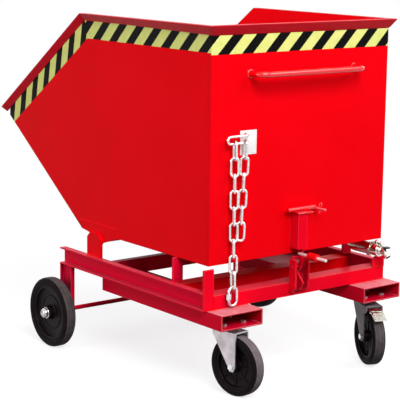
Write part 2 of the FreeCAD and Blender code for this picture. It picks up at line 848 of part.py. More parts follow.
def wheel_centre(label, diameter, width, depth, hub, hub_length, bore):
    """A dished wheel centre: hub, web and rim in one piece."""
    seat = diameter / 2 - depth
    well = seat - s["wheel_rim"]
    rim_share = 0.4
    half_rim = width * rim_share
    half_web = s["wheel_web"] / 2
    half_hub = hub_length / 2
    near = [
        (-half_hub, bore),
        (-half_hub, hub / 2),
        (-half_web, hub / 2 + half_web),
        (-half_web, well - half_web),
        (-half_rim, well),
        (-half_rim, seat),
    ]
    far = [(-across, out) for across, out in reversed(near)]
    return spin(label, near + far)


front_bore = axle_radius + s["running_gap"]
front_tyre_sizes = (s["front_wheel"], s["front_tyre_width"], s["front_tyre_depth"])
front_centre_sizes = front_tyre_sizes + (s["front_hub"], s["front_hub_length"], front_bore)
for name, side in SIDES.items():
    place(tyre(f"front_{name}_tyre", *front_tyre_sizes), side * half_track, *axle_line)
    place(wheel_centre(f"front_{name}_wheel", *front_centre_sizes), side * half_track, *axle_line)

# Castors: pressed forks turning under the plates, drawn about their kingpins.
half_fork = s["fork_gap"] / 2
fork_outside = half_fork + s["fork_steel"]
trail = s["castor_trail"]
castor_radius = s["castor_wheel"] / 2
castor_axle_radius = s["castor_axle"] / 2
castor_bore = castor_axle_radius + s["running_gap"]
half_race = s["castor_race"] / 2
brake_rear = s["brake_setback"] + s["brake_eye"]
fork_foot = s["fork_foot"]
fork_ends = {"left": trail + fork_foot + s["fork_lap"], "right": brake_rear}


def fork_outline(rear):
    """The side view of a fork whose crown ends at a distance behind the kingpin."""
    return [
        (half_race, crown_top),
        (-rear, crown_top),
        (-rear, s["brake_level"] - s["brake_eye"]),
        (-trail - fork_foot, s["brake_level"] - s["brake_eye"] * 2),
        (-trail - fork_foot, castor_radius),
        (-trail - fork_foot / 2, castor_radius - fork_foot),
        (-trail + fork_foot / 2, castor_radius - fork_foot),
        (-trail + fork_foot, castor_radius),
        (half_race, crown_bottom - s["castor_race_depth"]),
    ]


brake_bore = s["brake_pin"] / 2
brake_spot = (-s["brake_setback"], s["brake_level"])
castor_tyre_sizes = (s["castor_wheel"], s["castor_tyre_width"], s["castor_tyre_depth"])
castor_centre_sizes = castor_tyre_sizes + (s["castor_hub"], s["castor_hub_length"], castor_bore)
axle_hole = (-trail, castor_radius, castor_axle_radius)
fork_holes = {"left": [axle_hole], "right": [axle_hole, (*brake_spot, brake_bore)]}


def on_shoulder(edge):
    """True for the two long edges of a fork's crown."""
    level = all(abs(corner.Z - crown_top.value) < s["running_gap"].value for corner in edge.Vertexes)
    lengthwise = edge.tangentAt(edge.FirstParameter).cross(FreeCAD.Vector(0, 1, 0)).Length
    return level and lengthwise < s["running_gap"].value


king_radius = s["kingpin"] / 2 + s["running_gap"]
slot_reach = (-brake_rear - overrun, half_race + overrun)
bolt_span = fork_outside + s["castor_bolt_head"]
castor_line = (-trail, castor_radius)
for name, side in SIDES.items():
    where = (side * s["pocket_spacing"] / 2, -s["castor_setback"], NONE, s[f"castor_{name}_angle"])
    cheek = [fork_outline(fork_ends[name])]
    blank = run(f"fork_blank_{name}", "YZ", -fork_outside, 2 * fork_outside, cheek, fork_holes[name])
    round_off(blank, s["fork_corner"], on_shoulder)
    slot = block(f"fork_slot_{name}", (-half_fork, half_fork), slot_reach, (NONE, crown_bottom))
    king_hole = rod(f"fork_hole_{name}", king_radius, 2 * overrun, NONE, NONE, crown_bottom - overrun)
    fork = cut(f"fork_{name}", blank, [slot, king_hole])
    if side > 0:
        brake_bar = rod("brake_pin_bar", brake_bore, 2 * fork_outside, -fork_outside, *brake_spot, "X")
        place(weld(f"castor_{name}_fork", [fork, brake_bar]), *where)
    else:
        place(group(f"castor_{name}_fork", [fork]), *where)
    flats = s["castor_axle_flats"]
    head = s["castor_bolt_head"]
    shank = rod(f"castor_shank_{name}", castor_axle_radius, 2 * bolt_span, -bolt_span, *castor_line, "X")
    cap = hexagon(f"castor_head_{name}", flats, head, -bolt_span, *castor_line, "X")
    nut = hexagon(f"castor_nut_{name}", flats, head, fork_outside, *castor_line, "X")
    place(weld(f"castor_{name}_axle", [shank, cap, nut]), *where)
    for maker, label, values in (
        (tyre, f"castor_{name}_tyre", castor_tyre_sizes),
        (wheel_centre, f"castor_{name}_wheel", castor_centre_sizes),
    ):
        wheel = maker(label + "_blank", *values)
        wheel.setExpression("Placement.Base.y", (-trail).formula)
        wheel.setExpression("Placement.Base.z", castor_radius.formula)
        place(group(label, [wheel]), *where)

# Brake on the right castor: a pedal on a pin between the fork cheeks, with a shoe over the tread.
brake_place = (s["pocket_spacing"] / 2, -s["castor_setback"], NONE, s["castor_right_angle"])
eye = s["brake_eye"] / 2
shoe_rear = s["brake_setback"] + s["brake_shoe_end"]
shoe_front = s["brake_setback"] + s["brake_shoe_start"]
tread_reach = shoe_front - trail
tread_level = castor_radius + root(castor_radius * castor_radius - tread_reach * tread_reach)
shoe_level = tread_level + s["brake_shoe_gap"]
pedal_end = s["brake_setback"] + s["brake_pedal_length"]
pedal_drop = s["brake_level"] - s["brake_pedal_drop"]
brake_outline = [
    (-s["brake_setback"], s["brake_level"] + eye),
    (-shoe_front, s["brake_level"] + eye),
    (-pedal_end, pedal_drop + eye),
    (-pedal_end, pedal_drop),
    (-shoe_rear, s["brake_level"] - eye),
    (-shoe_rear, shoe_level),
    (-shoe_front, shoe_level),
    (-s["brake_setback"], s["brake_level"] - s["brake_shoe_gap"]),
]
half_brake = s["brake_width"] / 2
brake_plate = run("brake_plate", "YZ", -half_brake, s["brake_width"], [brake_outline])
brake_eye = rod("brake_eye", eye, s["brake_width"], -half_brake, *brake_spot, "X")
pin_clear = brake_bore + s["running_gap"]
brake_hole = rod("brake_hole", pin_clear, 2 * fork_outside, -fork_outside, *brake_spot, "X")
place(cut("castor_right_brake", weld("brake_blank", [brake_plate, brake_eye]), [brake_hole]), *brake_place)

# Latch: a column on the skip holds a catch bar on one ear; a rod on the frame swings over it.
offset = s["latch_offset"]
half_column = s["column_side"] / 2
wall = s["column_steel"]
half_hollow = half_column - wall
column_outer = rectangle(offset - half_column, offset + half_column, -s["column_side"], NONE)
column_inner = rectangle(offset - half_hollow, offset + half_hollow, wall - s["column_side"], -wall)
column_length = s["column_top"] - s["column_bottom"]
column = run("column_tube", "XY", s["column_bottom"], column_length, [column_outer, column_inner])
column_lid = run("column_lid", "XY", s["column_top"], wall, [column_outer])
catch_radius = s["catch_bar"] / 2
ear_rear = s["catch_reach"] - s["catch_bar"]
ear_front = s["catch_reach"] + s["catch_bar"] - wall
ear_bottom = s["catch_level"] - s["catch_bar"] + wall
ear_outline = rectangle(ear_rear, ear_front, ear_bottom, s["column_bottom"])
column_ear = run("column_ear", "YZ", offset + half_column - 2 * wall, 2 * wall, [ear_outline])
catch_spot = (s["catch_reach"], s["catch_level"], catch_radius)
catch_bar = run("column_catch_bar", "YZ", offset - half_column, s["column_side"], [], [catch_spot])
place(weld("latch_column", [column, column_lid, column_ear, catch_bar]))
grip_radius = s["grip_bar"] / 2
grip_spot = (-half_column, s["column_top"] + wall + grip_radius, grip_radius)
place(run("tipping_grip", "YZ", offset - s["grip_left"], s["grip_left"] + s["grip_right"], [], [grip_spot]))

keeper_inside = s["keeper_gap"] / 2
keeper_outside = keeper_inside + s["keeper_steel"]
keeper_rear = post_rear - s["keeper_depth"]
pedal_spot = (s["pedal_reach"], s["pedal_level"])
pin_radius = s["pedal_pin"] / 2
eye_radius = s["pedal_eye"] / 2
cheek_slant = s["keeper_depth"] / 2
cheek_outline = [
    (post_rear, s["keeper_bottom"]),
    (keeper_rear + cheek_slant, s["keeper_bottom"]),
    (keeper_rear, s["keeper_bottom"] + cheek_slant),
    (keeper_rear, s["keeper_top"]),
    (post_rear, s["keeper_top"]),
]
cheek_hole = [(*pedal_spot, pin_radius)]
keeper_steel = s["keeper_steel"]
left_start = offset - keeper_outside
right_start = offset + keeper_inside
left_cheek = run("keeper_cheek_left", "YZ", left_start, keeper_steel, [cheek_outline], cheek_hole)
right_cheek = run("keeper_cheek_right", "YZ", right_start, keeper_steel, [cheek_outline], cheek_hole)
web_top = s["pedal_level"] - eye_radius - keeper_steel
web_rear = post_rear - keeper_steel
web_outline = rectangle(web_rear, post_rear, s["keeper_bottom"], web_top)
keeper_web = run("keeper_web", "YZ", offset - keeper_inside, s["keeper_gap"], [web_outline])
rib_outline = [
    (web_rear, s["keeper_bottom"]),
    (keeper_rear + s["keeper_steel"], s["keeper_bottom"] + s["keeper_steel"] * 2),
    (keeper_rear - s["keeper_steel"], s["keeper_bottom"] + s["keeper_depth"]),
    (web_rear, web_top),
]
keeper_rib = run("keeper_rib", "YZ", offset - s["keeper_steel"] / 2, s["keeper_steel"], [rib_outline])
place(weld("latch_keeper", [left_cheek, right_cheek, keeper_web, keeper_rib]))
half_pin = keeper_outside + s["keeper_steel"] / 2
place(run("latch_pivot_pin", "YZ", offset - half_pin, 2 * half_pin, [], [(*pedal_spot, pin_radius)]))

# Pedal rod at rest clear of the catch bar; lifting the pedal swings the rod's nose over the bar.
# The rod lies in a saddle on the arm that turns on the pivot pin.
nose_share = 0.3
shoulder_share = 0.9
nose_lap = s["pedal_rod"] * nose_share
nose_front = s["pedal_reach"] + nose_lap
throat = s["pedal_reach"] - s["pedal_rod"]
hook_rear = throat - 2 * s["pedal_rod"]
rod_level = s["pedal_level"] + s["pedal_rod_rise"]
rod_radius = s["pedal_rod"] / 2
saddle_level = rod_level - nose_lap
hook_outline = [
    (s["pedal_reach"] - eye_radius, s["pedal_level"]),
    (s["pedal_reach"] - eye_radius * nose_share, s["pedal_level"] + eye_radius * shoulder_share),
    (throat, saddle_level - s["pedal_rod"]),
    (throat, saddle_level),
    (hook_rear, saddle_level),
    (hook_rear, saddle_level - s["pedal_rod"]),
]
hook_start = offset - s["pedal_plate"] / 2
hook_plate = run("hook_plate", "YZ", hook_start, s["pedal_plate"], [hook_outline])
hook_eye = rod("hook_eye", eye_radius, s["pedal_plate"], hook_start, *pedal_spot, "X")
hook_hole = rod("hook_hole", pin_radius + s["running_gap"], 2 * overrun, offset - overrun, *pedal_spot, "X")
saddle_start = (offset, hook_rear - overrun, rod_level)
saddle_length = throat - hook_rear + 2 * overrun
saddle = rod("hook_saddle", rod_radius, saddle_length, *saddle_start, "Y")
place(cut("latch_hook", weld("hook_blank", [hook_plate, hook_eye]), [hook_hole, saddle]))
pedal_tip = s["pedal_reach"] - s["pedal_length"]
place(run("latch_pedal", "XZ", pedal_tip, nose_front - pedal_tip, [], [(offset, rod_level, rod_radius)]))
roller_rear = s["pedal_reach"] - s["roller_start"] - s["roller_length"]
roller_rings = [(offset, rod_level, s["roller_width"] / 2), (offset, rod_level, rod_radius)]
place(run("pedal_roller", "XZ", roller_rear, s["roller_length"], [], roller_rings))

# Safety chain: a hairpin staple on the rear wall carries two strands of closed links on its lower arm.
staple_top = s["staple_level"] + s["staple_drop"]
staple_points = [
    vector(s["staple_right"], NONE, staple_top),
    vector(s["staple_right"], -s["staple_reach"], staple_top),
    vector(s["staple_left"], -s["staple_reach"], staple_top),
    vector(s["staple_left"], -s["staple_reach"], s["staple_level"]),
    vector(s["staple_right"], -s["staple_reach"], s["staple_level"]),
    vector(s["staple_right"], NONE, s["staple_level"]),
]
staple_path = bent_path(staple_points, s["staple_bend"].value)
place(feature("chain_staple", swept(staple_path, s["staple_bar"].value / 2)))
half_link = s["link_length"] / 2
link_pitch = s["link_length"] - s["link_play"]
first_link = s["staple_bar"] / 2 + s["link_play"] - half_link
one_link = link(s["link_length"].value, s["link_inside"].value, s["link_wire"].value)


def strand(turns, x, lean):
    """Links hanging from the staple, each at its own turn about the strand."""
    bar = vector(x, -s["staple_reach"], s["staple_level"])
    upright = FreeCAD.Rotation(FreeCAD.Vector(0, 1, 0), lean.value)
    links = []
    for number, turn in enumerate(turns):
        hang = vector(NONE, NONE, first_link - number * link_pitch)
        twist = FreeCAD.Rotation(FreeCAD.Vector(0, 0, 1), turn)
        one = one_link.copy()
        one.Placement = FreeCAD.Placement(bar + upright.multVec(hang), upright * twist)
        links.append(one)
    return links


# The strands hang a little twisted: neighbours stand about square to each other, and the long
# strand turns back at its end for the screw link.
hanging_turns = [ODD_TURN if number % 2 == 0 else EVEN_TURN for number in range(LONG_LINKS)]
hanging_turns[0] = TOP_TURN
long_turns = hanging_turns[:-len(LAST_TURNS)] + LAST_TURNS
long_links = strand(long_turns, s["long_strand"], NONE)
short_links = strand(hanging_turns[:SHORT_LINKS], s["short_strand"], s["short_strand_angle"])
place(feature("chain", Part.makeCompound(long_links + short_links)))

# Screw link on the end of the long strand, with its sleeve nut on one leg.
last_link = s["staple_level"] + first_link - (LONG_LINKS - 1) * link_pitch
screw_centre = last_link - half_link + s["screw_link_play"] - s["screw_link_length"] / 2
oval = link(s["screw_link_length"].value, s["screw_link_inside"].value, s["screw_link_wire"].value)
screw_place = (s["long_strand"], -s["staple_reach"], screw_centre)
place(feature("screw_link", oval), *screw_place)
leg_offset = -(s["screw_link_inside"] + s["screw_link_wire"]) / 2
half_sleeve = s["sleeve_length"] / 2
sleeve_bar = hexagon("sleeve_bar", s["sleeve_width"], s["sleeve_length"], leg_offset, NONE, -half_sleeve)
sleeve_radius = s["screw_link_wire"] / 2 + s["running_gap"]
sleeve_hole = rod("sleeve_hole", sleeve_radius, 2 * overrun, leg_offset, NONE, -overrun)
place(cut("screw_link_sleeve", sleeve_bar, [sleeve_hole]), *screw_place)

# Drain: pipe from the floor, union nut, ball tap with lever, spout.
drain = s["drain_offset"]
tap_line = (drain, s["drain_level"])
union_rear = -s["tap_neck_length"] / 2
union_front = union_rear + s["union_length"]
pipe_points = [
    vector(drain, s["drain_reach"], s["skip_bottom"]),
    vector(drain, s["drain_reach"], s["drain_level"]),
    vector(drain, union_front, s["drain_level"]),
]


def bent_pipe(label, points, bend, outside, inside):
    """A bent pipe of one bore."""
    path = bent_path(points, bend.value)
    return feature(label, swept(path, outside.value / 2).cut(swept(path, inside.value / 2)))


place(bent_pipe("drain_pipe", pipe_points, s["drain_bend"], s["drain_pipe"], s["drain_bore"]))
union_spot = (drain, union_rear, s["drain_level"])
union_bar = hexagon("union_bar", s["union_width"], s["union_length"], *union_spot, "Y")
neck_hole = s["tap_neck"] / 2 + s["running_gap"]
union_hole = rod("union_hole", neck_hole, 2 * overrun, drain, -overrun, s["drain_level"], "Y")
place(cut("drain_union", union_bar, [union_hole]))
tap_rear = -s["tap_reach"]
tap_middle = tap_rear / 2
tap_length = union_front - tap_rear
cavity = s["tap_ball"] / 2 + s["ball_gap"]
barrel_length = s["tap_reach"] - 2 * s["tap_neck_length"]
neck = run("tap_neck_run", "XZ", tap_rear, tap_length, [], [(*tap_line, s["tap_neck"] / 2)])
barrel_rear = tap_rear + s["tap_neck_length"]
barrel = run("tap_barrel", "XZ", barrel_rear, barrel_length, [], [(*tap_line, s["tap_body"] / 2)])
boss_height = s["tap_body"] / 2 + s["tap_lever_steel"]
bore_length = tap_length + 2 * overrun
bore_rear = tap_rear - overrun
stem_spot = (drain, tap_middle, s["drain_level"])
stem_clear = s["tap_stem"] / 2 + s["running_gap"]
boss = rod("tap_boss", s["tap_boss"] / 2, boss_height, *stem_spot)
stem_hole = rod("tap_stem_hole", stem_clear, s["tap_body"], *stem_spot)
bore = rod("tap_bore_hole", s["tap_bore"] / 2, bore_length, drain, bore_rear, s["drain_level"], "Y")
chamber = rod("tap_chamber", cavity, 2 * cavity, drain, tap_middle - cavity, s["drain_level"], "Y")
place(cut("tap_body", weld("tap_blank", [neck, barrel, boss]), [stem_hole, bore, chamber]))
ball_radius = s["tap_ball"] / 2
ball = doc.addObject("Part::Sphere", "tap_ball_blank")
ball.setExpression("Radius", ball_radius.formula)
lay(ball, *stem_spot, "Z")
ball_bore = rod("tap_ball_bore", s["tap_bore"] / 2, s["tap_reach"], drain, tap_rear, s["drain_level"], "Y")
stem = rod("tap_stem", s["tap_stem"] / 2, s["tap_stem_rise"], *stem_spot)
place(cut("tap_ball", weld("tap_ball_and_stem", [ball, stem]), [ball_bore]))
lever_bottom = s["drain_level"] + boss_height + s["side_gap"]
lever_top = lever_bottom + s["tap_lever_steel"]
half_lever = s["tap_lever_width"] / 2
lever_tip = tap_middle - s["tap_lever_length"]
lever_knee = tap_middle - s["tap_body"] / 2
lever_fall = lever_knee - s["tap_lever_width"]
lever_drop = s["tap_lever_drop"]
lever_outline = [
    (tap_middle + half_lever, lever_bottom),
    (tap_middle + half_lever, lever_top),
    (lever_knee, lever_top),
    (lever_fall, lever_top - lever_drop),
    (lever_tip, lever_top - lever_drop),
    (lever_tip, lever_bottom - lever_drop),
    (lever_fall, lever_bottom - lever_drop),
    (lever_knee, lever_bottom),
]
lever_blank = run("lever_blank", "YZ", drain - half_lever, s["tap_lever_width"], [lever_outline])
lever_hole = rod("lever_hole", s["tap_stem"] / 2, 2 * overrun, drain, tap_middle, lever_bottom - overrun / 2)
place(cut("tap_lever", lever_blank, [lever_hole]))
spout_points = [
    vector(drain, tap_rear, s["drain_level"]),
    vector(drain, -s["spout_reach"], s["drain_level"]),
    vector(drain, -s["spout_reach"] - s["spout_fall"], s["drain_level"] - s["spout_fall"]),
]
place(bent_pipe("drain_spout", spout_points, s["spout_bend"], s["spout_pipe"], s["spout_bore"]))

# Sieve: a perforated tray upside down over the drain hole in the rear corner of the skip.
sieve_right = half_inside
sieve_left = sieve_right - s["sieve_side"]
sieve_rear = s["skip_sheet"]
sieve_front = sieve_rear + s["sieve_side"]
sieve_bottom = s["skip_bottom"] + s["skip_sheet"]
first_hole = (s["sieve_side"] - s["sieve_pitch"] * (SIEVE_ROWS - 1)) / 2
hole_steps = [first_hole + number * s["sieve_pitch"] for number in range(SIEVE_ROWS)]
holes = [
    (sieve_left + across, sieve_rear + along, s["sieve_hole"] / 2)
    for across in hole_steps
    for along in hole_steps
]
sieve_edge = rectangle(sieve_left, sieve_right, sieve_rear, sieve_front)
thin = s["sieve_sheet"]
sieve_inner = rectangle(sieve_left + thin, sieve_right - thin, sieve_rear + thin, sieve_front - thin)
sieve_skirt = run("sieve_skirt", "XY", sieve_bottom, s["sieve_height"] - thin, [sieve_edge, sieve_inner])
sieve_plate = run("sieve_plate", "XY", sieve_bottom + s["sieve_height"] - thin, thin, [sieve_edge], holes)
place(weld("drain_sieve", [sieve_skirt, sieve_plate]))

doc.recompute()
os.makedirs("parts", exist_ok=True)
for item in doc.Objects:
    faults = [word for word in item.State if word in ("Invalid", "Error")]
    if faults:
        raise RuntimeError(f"{item.Label} is {faults}")
for piece in nodes:
    if piece.Shape.isNull() or not piece.Shape.isValid():
        raise RuntimeError(f"{piece.Label} has no valid shape")
    piece.Shape.exportStep(f"parts/{piece.Label}.step")
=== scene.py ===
"""Tipping skip trolley: paint, hazard tape, tyres, welds and small fittings round the solids, in a pale studio."""
import json
import math

import bmesh
import bpy
from mathutils import Matrix, Vector


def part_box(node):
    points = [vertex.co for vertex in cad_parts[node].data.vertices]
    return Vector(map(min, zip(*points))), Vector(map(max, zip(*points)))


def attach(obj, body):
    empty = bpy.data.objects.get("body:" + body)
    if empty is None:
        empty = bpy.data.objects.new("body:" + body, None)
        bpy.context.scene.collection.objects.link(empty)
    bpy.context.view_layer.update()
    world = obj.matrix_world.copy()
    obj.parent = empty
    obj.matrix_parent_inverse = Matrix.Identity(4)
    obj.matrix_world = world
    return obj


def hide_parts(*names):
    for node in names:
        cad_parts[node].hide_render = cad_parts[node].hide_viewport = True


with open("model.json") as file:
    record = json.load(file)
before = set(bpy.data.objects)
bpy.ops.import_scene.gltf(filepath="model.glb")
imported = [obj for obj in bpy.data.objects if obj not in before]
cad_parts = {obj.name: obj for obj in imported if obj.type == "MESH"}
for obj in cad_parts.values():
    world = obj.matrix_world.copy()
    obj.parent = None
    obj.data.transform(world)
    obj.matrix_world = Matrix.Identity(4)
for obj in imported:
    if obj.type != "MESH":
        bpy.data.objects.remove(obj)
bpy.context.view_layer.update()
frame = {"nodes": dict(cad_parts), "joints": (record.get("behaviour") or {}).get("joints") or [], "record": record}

MM = 0.001
SIDES = ("left", "right")
rear_face = Vector(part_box("skip_rear_wall")[0]).y
joints = {joint["name"]: joint for joint in frame["joints"]}


def at(x, y, z):
    """A point in millimetres: right of the middle, forwards of the skip's back, above the floor."""
    return Vector((x * MM, rear_face + y * MM, z * MM))


def linear(written):
    """A written sRGB colour as the linear colour that a shader takes."""
    channels = [int(written[start:start + 2], 16) / 255 for start in (1, 3, 5)]
    return (*(c / 12.92 if c <= 0.04045 else ((c + 0.055) / 1.055) ** 2.4 for c in channels), 1.0)


def per(size):
    """The scale of a pattern that repeats about every so many millimetres."""
    return 1 / (size * MM)


def add(tree, kind, inputs=None, **settings):
    """Adds a node, sets its properties and sets or joins its inputs."""
    node = tree.nodes.new("ShaderNode" + kind)
    for name, value in settings.items():
        setattr(node, name, value)
    for name, value in (inputs or {}).items():
        if isinstance(value, bpy.types.NodeSocket):
            tree.links.new(value, node.inputs[name])
        else:
            node.inputs[name].default_value = value
    return node


# Finishes

# The span in which nearly all values of a noise texture lie.
NOISE_LOW = 0.3
NOISE_HIGH = 0.7


def new_finish(name):
    """An empty finish: its material, node tree, shader and the place on the trolley."""
    material = bpy.data.materials.new(name)
    material.use_nodes = True
    tree = material.node_tree
    tree.nodes.clear()
    shader = add(tree, "BsdfPrincipled")
    add(tree, "OutputMaterial", {"Surface": shader.outputs["BSDF"]})
    place = add(tree, "TexCoord").outputs["Object"]
    return material, tree, shader, place


def drifting(tree, place, size, low, high, detail=2.0):
    """A value that drifts between two levels over patches of a size in millimetres."""
    patches = add(tree, "TexNoise", {"Vector": place, "Scale": per(size), "Detail": detail}).outputs[0]
    spread = {"Value": patches, "From Min": NOISE_LOW, "From Max": NOISE_HIGH, "To Min": low, "To Max": high}
    return add(tree, "MapRange", spread).outputs[0]


def tinted(tree, share, first, second):
    """A colour between two written or linked colours."""
    colours = [linear(c) if isinstance(c, str) else c for c in (first, second)]
    return add(tree, "Mix", {0: share, 6: colours[0], 7: colours[1]}, data_type="RGBA").outputs[2]


def edge_share(tree, radius, first, last):
    """The rounded normal of a surface and how near a point is to an outer or inner edge."""
    rounded = add(tree, "Bevel", {"Radius": radius * MM}, samples=6).outputs[0]
    flat = add(tree, "NewGeometry").outputs["True Normal"]
    facing = add(tree, "VectorMath", {0: rounded, 1: flat}, operation="DOT_PRODUCT").outputs["Value"]
    spread = {"Value": facing, "From Min": first, "From Max": last, "To Min": 0.0, "To Max": 1.0}
    return rounded, add(tree, "MapRange", spread).outputs[0]


def relief(tree, shader, place, size, depth, strength, detail, base=None):
    """Raises a relief of a grain size and a depth in millimetres on the faces, or on a base normal."""
    grains = add(tree, "TexNoise", {"Vector": place, "Scale": per(size), "Detail": detail}).outputs[0]
    raised = {"Height": grains, "Distance": depth * MM, "Strength": strength}
    if base is not None:
        raised["Normal"] = base
    tree.links.new(add(tree, "Bump", raised).outputs[0], shader.inputs["Normal"])


# Sizes in the enamel, in millimetres: cloud in the red, patches of dust and painted reflection, and of sheen, wear
# patches in the painted edge tone, waves in the sheet.
CLOUD = 240
DUST_PATCH = 40
SHEEN_PATCH = 60
EDGE_WEAR = 14
SHEET_WAVE = 260
SHEET_WAVE_DEPTH = 1.2
# Where the coat is worn thin it is rougher by this much.
EDGE_DULLING = 0.25
# Faces that are about level take a pale tone, partly dust and partly a painted reflection, and only above the middle of
# the fork pockets, not on the floors in them.
NEARLY_LEVEL = 0.8
POCKET_MIDDLE = 258.0
DUST_AND_REFLECTION_TONE = "#D8A0A8"
# How far a face looks round itself for other steel, and how open it is where the painted shade begins and where it is
# full.
NOOK_REACH = 220.0
NOOK_START = 0.62
NOOK_FULL = 0.26
PAINTED_SHADE_TONE = "#34062E"


def red_enamel(name, deep, pale, edge_radius, painted_edge_tone, gloss=0.04, rough=0.34, dust_and_reflection=0.0, painted_shade=0.0):
    """Baked enamel on steel: its tones, the width and painted tone of its edges, its gloss, a pale tone on top for dust
    and painted reflection, and painted shade in nooks.
    """
    # Sprayed and stoved: a full, even red with a soft satin gloss, on sheets that are never quite flat.
    # Along edges the colour takes another tone in patches, a painted highlight where it is pale and painted shade where
    # it is dark, and the film is duller there.
    # Level faces are paler, partly dust and partly a painted reflection, and painted shade darkens the nooks under the
    # skip.
    material, tree, shader, place = new_finish(name)
    body = tinted(tree, drifting(tree, place, CLOUD, 0.0, 1.0, 3.0), deep, pale)
    # Partly dust, partly a painted reflection: faces that look up are paler pink.
    if dust_and_reflection:
        facing = add(tree, "NewGeometry").outputs["True Normal"]
        upward = add(tree, "SeparateXYZ", {0: facing}).outputs["Z"]
        level = {"Value": upward, "From Min": NEARLY_LEVEL, "From Max": 1.0, "To Min": 0.0, "To Max": dust_and_reflection}
        height = add(tree, "SeparateXYZ", {0: place}).outputs["Z"]
        outside = add(tree, "Math", {0: height, 1: POCKET_MIDDLE * MM}, operation="GREATER_THAN").outputs[0]
        patches = {0: drifting(tree, place, DUST_PATCH, 0.5, 1.0, 4.0), 1: outside}
        fallen = add(tree, "Math", patches, operation="MULTIPLY").outputs[0]
        settled = {0: add(tree, "MapRange", level).outputs[0], 1: fallen}
        body = tinted(tree, add(tree, "Math", settled, operation="MULTIPLY").outputs[0], body, DUST_AND_REFLECTION_TONE)
    if painted_shade:
        # Painted shade: faces hemmed in by other steel are darkened towards a purple black.
        openness = add(tree, "AmbientOcclusion", {"Distance": NOOK_REACH * MM}, samples=8).outputs["AO"]
        nook = {"Value": openness, "From Min": NOOK_START, "From Max": NOOK_FULL, "To Min": 0.0, "To Max": painted_shade}
        body = tinted(tree, add(tree, "MapRange", nook).outputs[0], body, PAINTED_SHADE_TONE)
    # The edge tone is painted light: a pale tone is a painted highlight, a dark one painted shade, broken into patches
    # like wear.
    rounded, edge = edge_share(tree, edge_radius, 0.96, 0.76)
    wear = drifting(tree, place, EDGE_WEAR, 0.2, 0.6)
    painted_edge_and_wear = add(tree, "Math", {0: edge, 1: wear}, operation="MULTIPLY").outputs[0]
    tree.links.new(tinted(tree, painted_edge_and_wear, body, painted_edge_tone), shader.inputs["Base Color"])
    sheen = drifting(tree, place, SHEEN_PATCH, rough * 0.94, rough * 1.06)
    dulled = add(tree, "Math", {0: painted_edge_and_wear, 1: EDGE_DULLING, 2: sheen}, operation="MULTIPLY_ADD").outputs[0]
    tree.links.new(dulled, shader.inputs["Roughness"])
    relief(tree, shader, place, SHEET_WAVE, SHEET_WAVE_DEPTH, strength=0.14, detail=0.0, base=rounded)
    shader.inputs["Specular IOR Level"].default_value = gloss
    return material


def weld_enamel():
    """The same enamel over weld beads."""
    # Paint lies in the ripples of the bead, so it is darker in the hollows and breaks up the light.
    material, tree, shader, place = new_finish("red enamel over weld beads")
    hollow_size = 3
    tone = tinted(tree, drifting(tree, place, hollow_size, 0.0, 1.0, 3.0), "#CE040C", "#F20A12")
    tree.links.new(tone, shader.inputs["Base Color"])
    relief(tree, shader, place, size=1.5, depth=0.3, strength=0.6, detail=3.0)
    shader.inputs["Roughness"].default_value = 0.38
    shader.inputs["Specular IOR Level"].default_value = 0.15
    return material


def hazard_film():
    """Striped self-adhesive film."""
    # Printed PVC film: flat lime yellow and black bands at forty-five degrees with crisp borders, a low
    # satin gloss and the faint waves of a film rubbed on by hand. The piece's map counts stripe pitches.
    material, tree, shader, place = new_finish("striped satin PVC film")
    stripes = add(tree, "SeparateXYZ", {0: add(tree, "UVMap", uv_map="stripes").outputs[0]})
    along = add(tree, "Math", {0: stripes.outputs[0], 1: stripes.outputs[1]}, operation="ADD").outputs[0]
    step = add(tree, "Math", {0: along}, operation="FRACT").outputs[0]
    yellow_share = 0.53
    black = add(tree, "Math", {0: step, 1: yellow_share}, operation="GREATER_THAN").outputs[0]
    fading, ink_patch, gloss_patch = 30, 12, 20
    pale = tinted(tree, drifting(tree, place, fading, 0.0, 1.0), "#EAEE8E", "#E0E682")
    ink = tinted(tree, drifting(tree, place, ink_patch, 0.0, 1.0), "#040404", "#080707")
    tree.links.new(tinted(tree, black, pale, ink), shader.inputs["Base Color"])
    tree.links.new(drifting(tree, place, gloss_patch, 0.38, 0.52), shader.inputs["Roughness"])
    relief(tree, shader, place, size=25, depth=0.15, strength=0.4, detail=1.0)
    shader.inputs["Specular IOR Level"].default_value = 0.05
    return material


# How wide the rubbed edges of metal and moulded pieces are, in millimetres.
RUBBED_EDGE = 0.8


def worn_surface(tree, shader, place, deep, pale, mottle, grain, depth, rubbing):
    """Tones over a mottle size, paler by a share at rubbed edges, and relief over a grain size, in millimetres."""
    rounded, edge = edge_share(tree, RUBBED_EDGE, 0.97, 0.8)
    tone = tinted(tree, drifting(tree, place, mottle, 0.0, 1.0, 3.0), deep, pale)
    rubbed = add(tree, "Math", {0: edge, 1: rubbing}, operation="MULTIPLY").outputs[0]
    tree.links.new(tinted(tree, rubbed, tone, pale), shader.inputs["Base Color"])
    relief(tree, shader, place, grain, depth, strength=0.5, detail=2.0, base=rounded)


def metal(name, deep, pale, mottle, grain, depth, rough, stretch=(1, 1, 1), bare=1.0):
    """A bare or plated metal, its pattern stretched along the way that it was drawn."""
    material, tree, shader, place = new_finish(name)
    drawn = add(tree, "Mapping", {0: place, "Scale": stretch}).outputs[0]
    worn_surface(tree, shader, drawn, deep, pale, mottle, grain, depth, rubbing=0.5)
    polish = drifting(tree, drawn, grain * 4, rough * 0.8, rough * 1.25)
    tree.links.new(polish, shader.inputs["Roughness"])
    shader.inputs["Metallic"].default_value = bare
    return material


